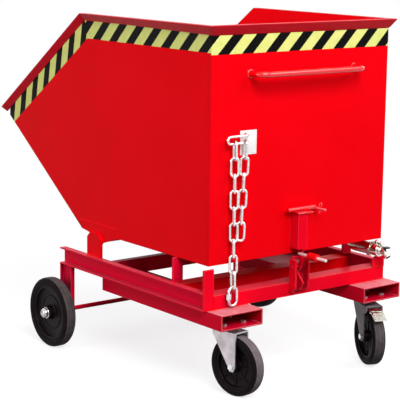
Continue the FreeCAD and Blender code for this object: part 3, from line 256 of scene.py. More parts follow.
def moulded(name, deep, pale, mottle, grain, depth, rough, gloss):
    """A rubber, plastic or lacquer."""
    material, tree, shader, place = new_finish(name)
    worn_surface(tree, shader, place, deep, pale, mottle, grain, depth, rubbing=0.4)
    sheen = drifting(tree, place, mottle / 3, rough * 0.88, rough * 1.12)
    tree.links.new(sheen, shader.inputs["Roughness"])
    shader.inputs["Specular IOR Level"].default_value = gloss
    return material


# The skip and the pieces welded to it: the plain coat, with painted shade along its folds and edges.
enamel = red_enamel("red baked enamel on sheet steel", "#F4010E", "#FA0212", edge_radius=4.0, painted_edge_tone="#A0020A")
# The rolled rim round the top: a deeper red that is painted shade, with pale edges that are painted highlights.
rim_enamel = red_enamel(
    "deep red baked enamel on the rolled rim", "#C8041C", "#D00620", edge_radius=2.0, painted_edge_tone="#F07A84", gloss=0.1
)
# Bars that hands hold: the same red, rubbed to a higher gloss, with a pale streak of light along the top and pale edges
# that are a painted highlight.
grip_enamel = red_enamel(
    "red enamel rubbed glossy on round bar",
    "#F4010E",
    "#FA0212",
    edge_radius=1.0,
    painted_edge_tone="#FB4A52",
    gloss=0.7,
    rough=0.2,
)
# Most of the frame's bars and tubes: the same red turned crimson as painted shade, pale along their saw-cut ends as
# painted highlight, pale on top for dust and painted reflection, with painted shade in nooks.
frame_enamel = red_enamel(
    "red baked enamel on rolled steel, crimson as painted shade",
    "#F40422",
    "#F80626",
    edge_radius=2.4,
    painted_edge_tone="#F59AA0",
    dust_and_reflection=0.12,
    painted_shade=0.5,
)
# The channels, legs, axle and support posts: a crimson copy of the red that is painted shade, with pale edges as
# painted highlight.
channel_enamel = red_enamel(
    "crimson baked enamel on rolled channel",
    "#F00432",
    "#F60636",
    edge_radius=2.4,
    painted_edge_tone="#F59AA0",
    dust_and_reflection=0.12,
    painted_shade=0.6,
)
# Fork pockets: a darker crimson as painted shade, near-white round the mouths, partly scraped almost bare by lifting
# forks and partly painted highlight, and paler than the rest on top, partly dust and partly painted reflection.
pocket_enamel = red_enamel(
    "red enamel on the fork pockets, painted shade and highlight",
    "#DA0428",
    "#E2062C",
    edge_radius=3.6,
    painted_edge_tone="#FFE4E8",
    dust_and_reflection=0.8,
    painted_shade=0.2,
)
weld_paint = weld_enamel()
tape_film = hazard_film()
# Barrel plating: nearly white, bright and a little cloudy, with the small dents of tumbling.
bright_zinc = metal("bright zinc plate", "#C9CCCE", "#F2F3F2", mottle=9, grain=1.2, depth=0.06, rough=0.24)
# Zinc on pressed sheet: a greyer, duller coat with a faint cloud and the pull marks of the press.
pressed_zinc = metal(
    "dull zinc plate on pressed sheet", "#A69FA4", "#CEC6CA", mottle=38, grain=2.5, depth=0.03, rough=0.4, bare=0.75
)
# The braked castor's fork: a darker, smoke-grey zinc that is painted shade.
castor_shade_zinc = metal(
    "zinc on pressed sheet, darkened as painted shade",
    "#5E575B",
    "#6E676B",
    mottle=45,
    grain=2.5,
    depth=0.03,
    rough=0.5,
    bare=0.15,
)
# Cold drawn bar: fine lines along its length and a soft grey shine. The lines are drawn coarse to show.
drawn_steel = metal(
    "cold drawn steel bar",
    "#E6E4E4",
    "#FBF9F8",
    mottle=8,
    grain=1.5,
    depth=0.03,
    rough=0.35,
    stretch=(1.0, 0.08, 1.0),
    bare=0.4,
)
# Nickel on turned brass: a warm bright mirror, slightly uneven where it was polished by hand.
nickel = metal("nickel plate on turned brass", "#C4BEB4", "#E9E5DC", mottle=12, grain=3.0, depth=0.04, rough=0.14)
# Pressed axle caps: bright plate with dark smears that are painted reflections.
cap_reflection_zinc = metal(
    "zinc plate on pressed caps with painted dark reflections", "#5E565A", "#E6E2E4", mottle=16, grain=5.0, depth=0.04, rough=0.2
)
# Galvanised perforated sheet: a pale crystal cloud and a dull shine.
galvanised = metal("galvanised perforated sheet", "#8F9396", "#B9BCBE", mottle=11, grain=3.0, depth=0.03, rough=0.42)
# Solid tyre rubber: deep black with a bloom of grey, matt, with the sandpaper grain of the mould.
sidewall = moulded(
    "moulded black tyre rubber", "#0C0709", "#160E11", mottle=35, grain=2.0, depth=0.08, rough=0.62, gloss=0.06
)
# The running face of the front tyres and the braked castor: dark, with a little floor dust in its grain; on the braked
# castor the darkness is painted shade.
dark_tread = moulded(
    "dusty black tyre tread", "#4A4343", "#5C5555", mottle=18, grain=2.0, depth=0.12, rough=0.82, gloss=0.1
)
# The other castor's running face is scuffed grey by the floor.
scuffed_tread = moulded(
    "scuffed grey tyre tread", "#6A6064", "#7C7276", mottle=18, grain=2.0, depth=0.12, rough=0.82, gloss=0.1
)
# Moulded polyamide: black with a low gloss and a fine spark-eroded grain.
wheel_black = moulded(
    "moulded black polyamide", "#0B0508", "#13090D", mottle=22, grain=2.0, depth=0.04, rough=0.42, gloss=0.08
)
# Dip-coated lever: thick dark grey vinyl, soft and slightly wavy.
dipped_grey = moulded(
    "dark grey dipped vinyl", "#2B2E31", "#3D4144", mottle=9, grain=2.5, depth=0.08, rough=0.45, gloss=0.3
)
# Small pins and clips: the red lightened to pink all over, a painted highlight that shows from a step away.
pin_highlight_enamel = moulded(
    "red enamel on small pins, pale as painted highlight", "#F03A44", "#FF9AA2", mottle=6, grain=2.0, depth=0.03, rough=0.3, gloss=0.4
)
# Moulded red roller: the same red as the paint but softer, with a low sheen.
red_roller = moulded(
    "red moulded PVC sleeve", "#E2060F", "#F00A14", mottle=12, grain=2.0, depth=0.04, rough=0.4, gloss=0.15
)
# White lacquered plate: clean, smooth and only slightly glossy.
white_lacquer = moulded(
    "white lacquered aluminium plate", "#F6F6F4", "#FCFCFB", mottle=25, grain=4.0, depth=0.01, rough=0.33, gloss=0.2
)

slot_finishes = {
    "red_paint": enamel,
    "bright_zinc": bright_zinc,
    "pressed_zinc": pressed_zinc,
    "bare_steel": drawn_steel,
    "nickel_plate": nickel,
    "lever_paint": dipped_grey,
    "red_plastic": red_roller,
    "sieve_steel": galvanised,
    "tyre_rubber": sidewall,
    "wheel_plastic": wheel_black,
}
node_finishes = {
    "middle_tube": enamel,
    "hinge_posts": enamel,
    "hinge_shaft": enamel,
    "push_handle": grip_enamel,
    "tipping_grip": grip_enamel,
    # The latch column takes the frame's crimson coat, a painted shade that sets it off from the wall.
    "latch_column": frame_enamel,
    "rim_rear": rim_enamel,
    "rim_left": rim_enamel,
    "rim_right": rim_enamel,
    "side_channel_left": channel_enamel,
    "side_channel_right": channel_enamel,
    "wheel_leg_left": channel_enamel,
    "wheel_leg_right": channel_enamel,
    "front_axle": channel_enamel,
    "front_channel": channel_enamel,
    "support_posts": channel_enamel,
    "fork_pocket_left": pocket_enamel,
    "fork_pocket_right": pocket_enamel,
    "castor_right_fork": castor_shade_zinc,
    "castor_right_brake": nickel,
    "castor_bolts": pressed_zinc,
    "tap_lever": nickel,
}
skip_nodes = frame["record"]["behaviour"]["bodies"]["skip"]
for subpart in frame["record"]["subparts"]:
    node = subpart["node"]
    finish = slot_finishes[subpart["material_slot"]]
    if finish is enamel and node not in skip_nodes:
        finish = frame_enamel
    finish = node_finishes.get(node, finish)
    for held in frame["nodes"][node].material_slots:
        held.material = finish


# Modelling


def finished(name, mesh, body, finishes, stands_for=(), crease=35):
    """Makes a modelled mesh a piece of the trolley that moves with a body."""
    bmesh.ops.remove_doubles(mesh, verts=mesh.verts, dist=0.01 * MM)
    bmesh.ops.recalc_face_normals(mesh, faces=mesh.faces)
    for face in mesh.faces:
        face.smooth = True
    data = bpy.data.meshes.new(name)
    mesh.to_mesh(data)
    mesh.free()
    data.set_sharp_from_angle(angle=math.radians(crease))
    for finish in finishes:
        data.materials.append(finish)
    piece = bpy.data.objects.new(name, data)
    bpy.context.scene.collection.objects.link(piece)
    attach(piece, body)
    if stands_for:
        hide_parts(*stands_for)


def axle_place(joint):
    """The place of a wheel: its middle on the joint's axis, with X along the axle."""
    up = Vector((0, 0, 1))
    across = Vector(joint["axis"]).normalized()
    turn = Matrix((across, up.cross(across), up)).transposed().to_4x4()
    return Matrix.Translation(Vector(joint["pos_m"])) @ turn


def upright_place(spot):
    """A place at a spot with X pointing up, for pieces turned about an upright line."""
    return Matrix.Translation(spot) @ Matrix.Rotation(math.radians(-90), 4, "Y")


def facing_back(spot):
    """A place at a spot with X pointing out of the rear wall."""
    return Matrix.Translation(spot) @ Matrix.Rotation(math.radians(-90), 4, "Z")


def turned(mesh, profile, place, closed=True, steps=96):
    """Spins a profile of distances along X and radii, in millimetres, about the X axis of a place."""
    ring = [mesh.verts.new(place @ Vector((along * MM, 0, radius * MM))) for along, radius in profile]
    ends = ring[1:] + ring[:1] if closed else ring[1:]
    lines = [mesh.edges.new(pair) for pair in zip(ring, ends)]
    axis = place.to_3x3() @ Vector((1, 0, 0))
    bmesh.ops.spin(
        mesh, geom=ring + lines, cent=place.translation, axis=axis, angle=math.tau, steps=steps, use_merge=True
    )


def round_off(mesh, edges, rounding):
    """Rounds edges by a radius in millimetres."""
    bmesh.ops.bevel(
        mesh,
        geom=edges,
        offset=rounding * MM,
        offset_type="OFFSET",
        segments=2,
        profile=0.5,
        affect="EDGES",
        material=-1,
        clamp_overlap=True,
    )


def slab(mesh, low, high, rounding, place=Matrix()):
    """A block between two corners, with its edges rounded."""
    spot = place @ Matrix.LocRotScale((low + high) / 2, None, high - low)
    block = bmesh.ops.create_cube(mesh, size=1.0, matrix=spot)
    round_off(mesh, list({edge for corner in block["verts"] for edge in corner.link_edges}), rounding)


def bar(mesh, start, end, radius, sides=24, rounding=0.8):
    """A bar between two points, round or with flats, with its ends rounded."""
    way = end - start
    place = Matrix.Translation((start + end) / 2) @ way.to_track_quat("Z", "Y").to_matrix().to_4x4()
    size = radius * MM
    made = bmesh.ops.create_cone(
        mesh, cap_ends=True, segments=sides, radius1=size, radius2=size, depth=way.length, matrix=place
    )
    end_edges = []
    for edge in {edge for corner in made["verts"] for edge in corner.link_edges}:
        run = (edge.verts[0].co - edge.verts[1].co).normalized()
        if abs(run.dot(way.normalized())) < 0.5:
            end_edges.append(edge)
    round_off(mesh, end_edges, rounding)


def string(mesh, points, radii, sides, endless=False):
    """A round string through points, with its own radius in millimetres at each. An endless one is a ring."""
    ways = [(after - before).normalized() for before, after in zip(points, points[1:])]
    first, final = ways[0], ways[-1]
    if endless:
        first = final = (first + final).normalized()
    ways = [first, *((one + two).normalized() for one, two in zip(ways, ways[1:])), final]
    turn = ways[0].to_track_quat("Z", "Y")
    last = Matrix.LocRotScale(points[0], turn, Vector.Fill(3, radii[0] * MM))
    ring = bmesh.ops.create_circle(mesh, cap_ends=not endless, segments=sides, radius=1.0, matrix=last)
    edges = list({edge for corner in ring["verts"] for edge in corner.link_edges})
    for point, before, way, radius in zip(points[1:], ways, ways[1:], radii[1:]):
        turn = before.rotation_difference(way) @ turn
        here = Matrix.LocRotScale(point, turn, Vector.Fill(3, radius * MM))
        grown = bmesh.ops.extrude_edge_only(mesh, edges=edges)["geom"]
        corners = {item for item in grown if isinstance(item, bmesh.types.BMVert)}
        lines = [item for item in grown if isinstance(item, bmesh.types.BMEdge)]
        edges = [line for line in lines if corners.issuperset(line.verts)]
        bmesh.ops.transform(mesh, matrix=here @ last.inverted(), verts=list(corners))
        last = here
    if not endless:
        bmesh.ops.contextual_create(mesh, geom=edges)


# Weld beads: the step of the torch in millimetres, how far the bead draws in between steps, and its sides.
RIPPLE = 3.5
RIPPLE_SHARE = 0.84
BEAD_SIDES = 6


def ripples(radius, steps):
    """The radius of a weld bead at each step, full and drawn in by turns."""
    return [radius * (1.0 if step % 2 else RIPPLE_SHARE) for step in range(steps + 1)]


def bead(mesh, start, end, radius):
    """A weld bead between two points, with a ripple for every step of the torch."""
    steps = max(4, round((end - start).length / (RIPPLE * MM)))
    points = [start.lerp(end, step / steps) for step in range(steps + 1)]
    string(mesh, points, ripples(radius, steps), BEAD_SIDES)


def ring_bead(mesh, place, reach, radius):
    """A weld bead round a bar: a circle of a reach about the X axis of a place."""
    steps = 2 * max(6, round(math.pi * reach / RIPPLE))
    points = []
    for step in range(steps + 1):
        angle = math.tau * step / steps
        points.append(place @ Vector((0, math.cos(angle) * reach * MM, math.sin(angle) * reach * MM)))
    string(mesh, points, ripples(radius, steps), BEAD_SIDES, endless=True)


# Hazard tape: one strip under the rear rim, two on each side that meet in a mitre at the bend.
HALF_SKIP = 385
TAPE_THICKNESS = 0.4
# The stripe pitch on each strip, and a spot where a yellow stripe begins.
REAR_PITCH = 98.0
REAR_START = (10.6, 1131)
LEVEL_PITCH = 99.0
LEVEL_START = (36.8, 1137)
SLOPE_PITCH = 101.0
SLOPE_START = (56.5, 50)
# The bend of the side walls' top edge, and how far the edge runs and drops from there to the lip.
BEND = (717, 1193)
FALL_RUN = 508.0
FALL_DROP = 359.0
fall_length = math.hypot(FALL_RUN, FALL_DROP)
fall = Vector((FALL_RUN / fall_length, -FALL_DROP / fall_length))


def rear_stripes(across, up):
    """Stripe count on the rear tape, which leans to the right going up."""
    return (across - REAR_START[0]) / REAR_PITCH, (REAR_START[1] - up) / REAR_PITCH


def level_stripes(along, up):
    """Stripe count on the level side tape, which leans to the rear going up."""
    return (along - LEVEL_START[0]) / LEVEL_PITCH, (up - LEVEL_START[1]) / LEVEL_PITCH


def slope_stripes(along, up):
    """Stripe count on the side tape that follows the falling edge, measured along the edge and down from it."""
    spot = Vector((along - BEND[0], up - BEND[1]))
    down = -spot.dot(Vector((-fall.y, fall.x)))
    return (spot.dot(fall) - SLOPE_START[0]) / SLOPE_PITCH, (SLOPE_START[1] - down) / SLOPE_PITCH


def tape(name, strips, where, outward):
    """A tape of strips that share their corners, each with its own stripe map, raised by its thickness."""
    mesh = bmesh.new()
    layer = mesh.loops.layers.uv.new("stripes")
    made = {}
    faces = []
    for corners, stripes in strips:
        for corner in corners:
            if corner not in made:
                made[corner] = mesh.verts.new(where(*corner))
        face = mesh.faces.new([made[corner] for corner in corners])
        for loop, corner in zip(face.loops, corners):
            loop[layer].uv = stripes(*corner)
        faces.append(face)
    grown = bmesh.ops.extrude_face_region(mesh, geom=faces)["geom"]
    raised = [item for item in grown if isinstance(item, bmesh.types.BMVert)]
    bmesh.ops.translate(mesh, verts=raised, vec=outward * TAPE_THICKNESS * MM)
    finished(name, mesh, "skip", [tape_film], crease=20)


rear_strip = [(-HALF_SKIP, 1101), (HALF_SKIP, 1101), (HALF_SKIP, 1161), (-HALF_SKIP, 1161)]
level_strip = [(0, 1107), (695, 1107), (711, 1168), (0, 1168)]
slope_strip = [(695, 1107), (1193, 760), (1224.6, 782.3), (1224.6, 812), (711, 1168)]
side_strips = [(level_strip, level_stripes), (slope_strip, slope_stripes)]
tape("hazard_tape_rear", [(rear_strip, rear_stripes)], lambda x, z: at(x, 0, z), Vector((0, -1, 0)))
tape("hazard_tape_left", side_strips, lambda y, z: at(-HALF_SKIP, y, z), Vector((-1, 0, 0)))
tape("hazard_tape_right", side_strips, lambda y, z: at(HALF_SKIP, y, z), Vector((1, 0, 0)))

# Bare plate on the rear wall, held by two blind rivets.
PLATE_THICKNESS = 1.2
RIVET_HEAD = ((-0.3, 0), (-0.3, 3.2), (0.5, 3.0), (1.3, 1.8), (1.5, 0))
mesh = bmesh.new()
slab(mesh, at(-263, -PLATE_THICKNESS, 776), at(-195, 0, 855), 0.5)
finished("blank_plate", mesh, "skip", [white_lacquer])
mesh = bmesh.new()
for spot in (at(-256, -PLATE_THICKNESS, 848), at(-202, -PLATE_THICKNESS, 783)):
    turned(mesh, RIVET_HEAD, facing_back(spot), closed=False, steps=24)
finished("plate_rivets", mesh, "skip", [bright_zinc])

# Wheels: tyres with a raised sidewall line and two tread grooves, moulded centres with bearings, ribbed in the
# castors. The tyre's section is given as shares of half its width and of the rubber's depth.
TYRE_SHARES = (
    (0.80, 0.0),
    (0.90, 0.06),
    (0.975, 0.2),
    (1.0, 0.36),
    (1.0, 0.44),
    (0.955, 0.47),
    (0.955, 0.54),
    (0.995, 0.57),
    (0.965, 0.7),
    (0.875, 0.86),
    (0.73, 0.955),
    (0.56, 0.99),
)
TREAD_SHARES = ((0.37, 1.0), (0.35, 0.95), (0.31, 0.95), (0.29, 1.0))
SHOULDER_SHARE = 0.93
HALF_TYRE = 23
HALF_RIM = 18.4
HALF_HUB = 26


def tyre(name, place, body, seat, depth, tread):
    """A solid rubber tyre on a seat radius: a running face between black sidewalls."""
    half = [(share * HALF_TYRE, seat + rise * depth) for share, rise in TYRE_SHARES + TREAD_SHARES]
    profile = [(-along, out) for along, out in half] + half[::-1]
    mesh = bmesh.new()
    turned(mesh, profile, place, steps=120)
    back = place.inverted()
    shoulder = seat + SHOULDER_SHARE * depth
    for face in mesh.faces:
        spot = back @ face.calc_center_median()
        face.material_index = int(math.hypot(spot.y, spot.z) > shoulder * MM)
    finished(name + "_rubber", mesh, body, [sidewall, tread], [name], 40)


def wheel_centre(name, place, body, seat, hub, bore, ribs):
    """A moulded centre: rim, dished web with a raised ring, ribs and hub in one."""
    well = seat - 6
    near = [
        (HALF_HUB, bore),
        (HALF_HUB, hub - 1.5),
        (HALF_HUB - 1.5, hub),
        (8, hub + 2),
        (5.5, hub + 5),
        (5, well * 0.62),
        (7.5, well * 0.64),
        (7.5, well * 0.68),
        (5, well * 0.70),
        (5, well - 6),
        (7, well - 2),
        (HALF_RIM - 1, well),
        (HALF_RIM, well + 1),
        (HALF_RIM, seat),
    ]
    mesh = bmesh.new()
    turned(mesh, [(-along, out) for along, out in near] + near[::-1], place)
    half_rib = Vector((HALF_RIM * 0.45, 2.2, 0))
    for number in range(ribs):
        spoke = place @ Matrix.Rotation(math.tau * number / ribs, 4, "X")
        low = (Vector((0, 0, hub - 2)) - half_rib) * MM
        high = (Vector((0, 0, well + 2)) + half_rib) * MM
        slab(mesh, low, high, 1.0, spoke)
    finished(name + "_moulding", mesh, body, [wheel_black], [name])


def bearings(name, place, body, bore):
    """Steel bearing rings in both ends of a hub."""
    inner, outer = HALF_HUB - 3, HALF_HUB + 0.1
    ring = [(inner, bore), (inner, bore + 7), (outer, bore + 7), (outer, bore)]
    mesh = bmesh.new()
    for side in (-1, 1):
        turned(mesh, [(side * along, out) for along, out in ring], place, steps=48)
    finished(name, mesh, body, [bright_zinc])


def wheel(name, body, seat, depth, hub, bore, ribs, tread):
    """A wheel on its rolling joint: the seat radius and depth of its rubber, its hub, bore and ribs."""
    place = axle_place(joints[name + "_roll"])
    tyre(name + "_tyre", place, body, seat, depth, tread)
    wheel_centre(name + "_wheel", place, body, seat, hub, bore, ribs)
    bearings(name + "_bearings", place, body, bore)


for side in SIDES:
    front, castor = "front_" + side, "castor_" + side
    wheel(front, front, seat=95, depth=30, hub=24, bore=8.05, ribs=0, tread=dark_tread)
    # The braked castor gets the dark tread as painted shade.
    castor_tread = scuffed_tread if side == "left" else dark_tread
    wheel(castor, castor + "_rolling", seat=75, depth=25, hub=19, bore=6.05, ribs=8, tread=castor_tread)

# Domed caps pressed on the ends of the front axle, as distances from the middle and radii.
CAP_SECTION = (
    (520, 0.0),
    (520, 8.2),
    (509.4, 8.2),
    (509.4, 19.5),
    (510.6, 20.2),
    (511.8, 19.6),
    (512.2, 18.0),
    (518, 17.4),
    (523, 15.4),
    (526.6, 12.0),
    (528.6, 8.0),
    (529.3, 4.0),
    (529.4, 0.0),
)
wheel_middle = Vector(joints["front_left_roll"]["pos_m"])
axle_middle = Matrix.Translation(Vector((0, wheel_middle.y, wheel_middle.z)))
mesh = bmesh.new()
for side in (-1, 1):
    turned(mesh, [(side * along, out) for along, out in CAP_SECTION], axle_middle, closed=False, steps=64)
finished("axle_cap_domes", mesh, "frame", [cap_reflection_zinc], ["axle_caps"])

# Dust rings over the castors' swivel races.
DUST_RING = ((0.2, 33), (0.2, 36), (2.2, 37.5), (6.5, 37.5), (9.2, 35.5), (9.6, 33))
for side in SIDES:
    mesh = bmesh.new()
    turned(mesh, DUST_RING, upright_place(Vector(joints[f"castor_{side}_swivel"]["pos_m"])))
    finished(f"castor_{side}_dust_ring", mesh, "frame", [pressed_zinc])

# Brake tread: raised bars on the pedal's sloping pad that keep the foot from slipping.
PAD_LEAN = math.radians(22.6)
PAD_START = 15
PAD_HEIGHT = 5.0
PAD_FALL = 25.0 / 60
TREAD_STEP = 11
brake = axle_place(joints["castor_right_brake"])
mesh = bmesh.new()
for step in range(4):
    reach = 32 + TREAD_STEP * step
    rise = PAD_HEIGHT - PAD_FALL * (reach - PAD_START)
    lean = brake @ Matrix.Translation(Vector((0, -reach, rise)) * MM) @ Matrix.Rotation(PAD_LEAN, 4, "X")
    slab(mesh, Vector((-17, -2, -0.8)) * MM, Vector((17, 2, 1.6)) * MM, 0.7, lean)
finished("brake_tread_bars", mesh, "castor_right_brake", [nickel])

# Latch: flange plate under the tipping grip, stop pin with its wire clip on the rear wall.
PIN_ACROSS = 57
CLIP_BENDS = (
    (-34, 557),
    (-34, 590),
    (-36.5, 594.5),
    (-41, 595.5),
    (-45, 592),
    (-45, 584),
    (-41.5, 579.5),
    (-39.5, 575),
    (-41.5, 570),
    (-43, 562),
)
CLIP_WIRE = 0.8
mesh = bmesh.new()
slab(mesh, at(-45, -42, 567.6), at(22, -0.2, 570.8), 0.8)
bar(mesh, at(-45, -42, 568), at(22, -42, 568), 3.4, rounding=1.2)
finished("grip_flange", mesh, "skip", [grip_enamel])
mesh = bmesh.new()
bar(mesh, at(PIN_ACROSS, 0, 573), at(PIN_ACROSS, -64, 573), 4)
finished("stop_pin", mesh, "skip", [pin_highlight_enamel])
mesh = bmesh.new()
string(mesh, [at(PIN_ACROSS, y, z) for y, z in CLIP_BENDS], [CLIP_WIRE] * len(CLIP_BENDS), sides=10)
finished("wire_clip", mesh, "skip", [pin_highlight_enamel])

# Tap: nut on the stem, dipped sleeve on the lever, hose rings on the spout.
TAP_ACROSS = 345
SPOUT_RADIUS = 11.9
RING_RADIUS = 12.9
mesh = bmesh.new()
bar(mesh, at(TAP_ACROSS, -22, 423.2), at(TAP_ACROSS, -22, 428.6), 8.2, sides=6, rounding=0.5)
finished("tap_lever_nut", mesh, "tap", [bright_zinc])
mesh = bmesh.new()
slab(mesh, at(TAP_ACROSS - 10.4, -78, 406.6), at(TAP_ACROSS + 10.4, -58, 412.6), 2.2)
finished("tap_lever_sleeve", mesh, "tap", [dipped_grey])
mesh = bmesh.new()
spout_turn = Matrix.Rotation(math.radians(45), 4, "X") @ Matrix.Rotation(math.radians(-90), 4, "Z")
spout = Matrix.Translation(at(TAP_ACROSS, -60, 394)) @ spout_turn
for reach in (10, 16, 22):
    crest = [(reach - 2.0, RING_RADIUS), (reach - 1.2, RING_RADIUS)]
    turned(mesh, [(reach - 2.4, SPOUT_RADIUS), *crest, (reach + 1.6, SPOUT_RADIUS)], spout, steps=48)
finished("spout_hose_rings", mesh, "skip", [nickel])

# Weld beads on the skip: along its inner corners, round the hinge plates, on the rim's mitres, beside the latch
# column, and round the feet of the chain's staple and the drain.
CORNER = 381
CORNER_END = 380
FLOOR_REAR = (4, 431)
FLOOR_FRONT = (730, 432)
COLUMN = -20
mesh = bmesh.new()
for side in (-1, 1):
    corner = side * CORNER
    plate = side * (HALF_SKIP + 0.3)
    column_edge = COLUMN + side * 20.5
    bead(mesh, at(corner, *FLOOR_REAR), at(corner, 728, 431), 4)
    bead(mesh, at(corner, *FLOOR_REAR), at(corner, 4, 1190), 3)
    bead(mesh, at(corner, *FLOOR_FRONT), at(corner, 1222, 785), 4)
    bead(mesh, at(plate, 506, 460), at(plate, 741, 460), 1.8)
    bead(mesh, at(plate, 505, 459), at(plate, 505, 428), 1.8)
    bead(mesh, at(side * 386, -1, 1192.6), at(side * 404.5, -19.5, 1192.6), 1.2)
    bead(mesh, at(column_edge, -0.5, 447), at(column_edge, -0.5, 566), 2.5)
for floor_edge in (FLOOR_REAR, FLOOR_FRONT):
    bead(mesh, at(-CORNER_END, *floor_edge), at(CORNER_END, *floor_edge), 4)
for level in (819, 842):
    ring_bead(mesh, facing_back(at(-242, -1, level)), 5, 2)
ring_bead(mesh, upright_place(at(TAP_ACROSS, 112, 426)), 22.5, 2.5)
finished("skip_welds", mesh, "skip", [weld_paint])

# Weld rings round the feet of the push handle, rubbed as glossy as the bar.
mesh = bmesh.new()
for side in (-1, 1):
    ring_bead(mesh, facing_back(at(side * 225, -1.5, 1036)), 11.5, 3.2)
finished("handle_welds", mesh, "skip", [grip_enamel])

# Weld beads on the frame: where its tubes and channels cross the fork pockets, along the side channels, at the feet
# of the posts, at the wheel legs and their axle, and beside the latch's keeper.
POCKET_SEAM = 284.5
CHANNEL_FOOT = 283.5
CHANNEL_TOP = 344.5
TUBE_BACK = -12.5
mesh = bmesh.new()
for side in (-1, 1):
    keeper_edge = COLUMN + side * 31.5
    for along in (TUBE_BACK, 48.5, 164.5, 225.5, 546.5, 572.5):
        bead(mesh, at(side * 229, along, POCKET_SEAM), at(side * 388, along, POCKET_SEAM), 3)
    bead(mesh, at(side * 397.5, 20, CHANNEL_FOOT), at(side * 397.5, 582, CHANNEL_FOOT), 3)
    bead(mesh, at(side * 399.8, 595, CHANNEL_TOP), at(side * 399.8, 677, CHANNEL_TOP), 3)
    bead(mesh, at(side * 364, 164.5, CHANNEL_TOP), at(side * 400, 164.5, CHANNEL_TOP), 2.5)
    for along in (759.5, 832.5):
        bead(mesh, at(side * 400, along, CHANNEL_FOOT), at(side * 414, along, CHANNEL_FOOT), 2.5)
    bead(mesh, at(side * 398.5, 762, CHANNEL_FOOT), at(side * 398.5, 830, CHANNEL_FOOT), 2.5)
    ring_bead(mesh, Matrix.Translation(at(side * 398.6, 776, 125)), 9, 2.2)
    bead(mesh, at(keeper_edge, TUBE_BACK, 301), at(keeper_edge, TUBE_BACK, 329), 2.5)
bead(mesh, at(-371, TUBE_BACK, 286), at(-371, TUBE_BACK, 329), 2.5)
bead(mesh, at(340, TUBE_BACK, 330.5), at(390, TUBE_BACK, 330.5), 2.2)
finished("frame_welds", mesh, "frame", [weld_paint])


# Studio: white floor that keeps a soft shadow, white surroundings, large soft lamps. Sizes are in metres.
HALF_FLOOR = 60
FADE_START = 1.0
FADE_END = 2.2
SOFT_LEVEL = 0.11
TROLLEY_MIDDLE = Vector((0, 0, 0.6))


def seen_directly(tree):
    """One where a ray comes from the camera, a mirror or glass, nought for soft light."""
    path = add(tree, "LightPath")
    camera_or_glossy = {0: path.outputs["Is Camera Ray"], 1: path.outputs["Is Glossy Ray"]}
    direct = add(tree, "Math", camera_or_glossy, operation="MAXIMUM").outputs[0]
    both = {0: direct, 1: path.outputs["Is Transmission Ray"]}
    return add(tree, "Math", both, operation="MAXIMUM").outputs[0]


def pale_floor():
    """A white floor: grey paint for soft light, white to the eye with the trolley's shadow left in near it."""
    material = bpy.data.materials.new("white studio floor")
    material.use_nodes = True
    tree = material.node_tree
    tree.nodes.clear()
    paint = add(tree, "BsdfDiffuse", {"Color": linear("#3C3C3C")}).outputs[0]
    glow = add(tree, "Emission", {"Color": linear("#E3E3E3"), "Strength": 1.0}).outputs[0]
    lit = add(tree, "BsdfDiffuse", {"Color": linear("#9A9A9A")}).outputs[0]
    shaded = add(tree, "AddShader", {0: glow, 1: lit}).outputs[0]
    white = add(tree, "Emission", {"Color": linear("#FFFFFF"), "Strength": 1.0}).outputs[0]
    place = add(tree, "TexCoord").outputs["Object"]
    reach = add(tree, "VectorMath", {0: place}, operation="LENGTH").outputs["Value"]
    spread = {"Value": reach, "From Min": FADE_START, "From Max": FADE_END}
    far = add(tree, "MapRange", spread, interpolation_type="SMOOTHSTEP").outputs[0]
    seen = add(tree, "MixShader", {0: far, 1: shaded, 2: white}).outputs[0]
    surface = add(tree, "MixShader", {0: seen_directly(tree), 1: paint, 2: seen}).outputs[0]
    add(tree, "OutputMaterial", {"Surface": surface})
    mesh = bmesh.new()
    bmesh.ops.create_grid(mesh, x_segments=1, y_segments=1, size=HALF_FLOOR)
    data = bpy.data.meshes.new("studio_floor")
    mesh.to_mesh(data)
    mesh.free()
    data.materials.append(material)
    floor = bpy.data.objects.new("studio_floor", data)
    bpy.context.scene.collection.objects.link(floor)


def surroundings():
    """White all round to the eye and in reflections, and a soft level of cool light on everything."""
    world = bpy.data.worlds.new("white studio")
    world.use_nodes = True
    tree = world.node_tree
    tree.nodes.clear()
    seen = seen_directly(tree)
    level = add(tree, "MapRange", {"Value": seen, "To Min": SOFT_LEVEL, "To Max": 1.0}).outputs[0]
    tone = tinted(tree, seen, "#D6CCFF", "#FFFFFF")
    light = add(tree, "Background", {"Color": tone, "Strength": level}).outputs[0]
    add(tree, "OutputWorld", {"Surface": light})
    bpy.context.scene.world = world


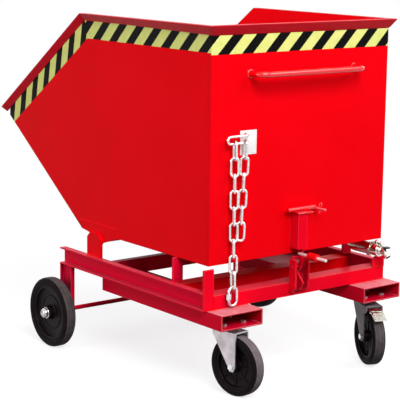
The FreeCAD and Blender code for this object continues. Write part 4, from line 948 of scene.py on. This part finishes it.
def lamp(name, spot, size, power):
    """A square soft lamp aimed at the middle of the trolley."""
    light = bpy.data.lights.new(name, "AREA")
    light.size = size
    light.energy = power
    holder = bpy.data.objects.new(name, light)
    turn = (TROLLEY_MIDDLE - Vector(spot)).to_track_quat("-Z", "Y")
    holder.matrix_world = Matrix.LocRotScale(Vector(spot), turn, None)
    bpy.context.scene.collection.objects.link(holder)


# The camera as fitted to the photograph: where it stands, its angles, and its focal length in the picture's pixels.
CAMERA_SPOT = (-3.213183, -4.125992, 1.495594)
CAMERA_YAW = math.radians(37.959)
CAMERA_PITCH = math.radians(10.587)
CAMERA_ROLL = math.radians(0.7308)
FOCAL_PIXELS = 1466.277
PICTURE_PIXELS = 400
SENSOR_WIDTH = 36.0


def camera():
    """The camera at the photograph's place, turn and angle of view."""
    level_ahead = Vector((math.sin(CAMERA_YAW), math.cos(CAMERA_YAW), 0))
    ahead = level_ahead * math.cos(CAMERA_PITCH) - Vector((0, 0, math.sin(CAMERA_PITCH)))
    right = Vector((math.cos(CAMERA_YAW), -math.sin(CAMERA_YAW), 0))
    up = right.cross(ahead)
    level = right * math.cos(CAMERA_ROLL) + up * math.sin(CAMERA_ROLL)
    top = up * math.cos(CAMERA_ROLL) - right * math.sin(CAMERA_ROLL)
    data = bpy.data.cameras.new("studio_camera")
    data.sensor_width = SENSOR_WIDTH
    data.lens = SENSOR_WIDTH * FOCAL_PIXELS / PICTURE_PIXELS
    data.clip_end = 200.0
    holder = bpy.data.objects.new("studio_camera", data)
    turn = Matrix((level, top, -ahead)).transposed().to_4x4()
    holder.matrix_world = Matrix.Translation(Vector(CAMERA_SPOT)) @ turn
    bpy.context.scene.collection.objects.link(holder)
    bpy.context.scene.camera = holder


pale_floor()
surroundings()
lamp("camera_key", (-1.7, -4.2, 3.9), size=2.6, power=258)
lamp("right_fill", (2.6, -3.8, 3.7), size=2.4, power=112)
lamp("left_fill", (-4.6, 0.4, 1.6), size=1.8, power=76)
lamp("top_wash", (0.0, 0.2, 4.6), size=3.0, power=20)
lamp("right_wash", (4.6, 0.8, 2.8), size=2.4, power=115)
lamp("front_wash", (0.6, 5.0, 3.2), size=2.4, power=50)
camera()
bpy.context.scene.view_settings.view_transform = "Standard"
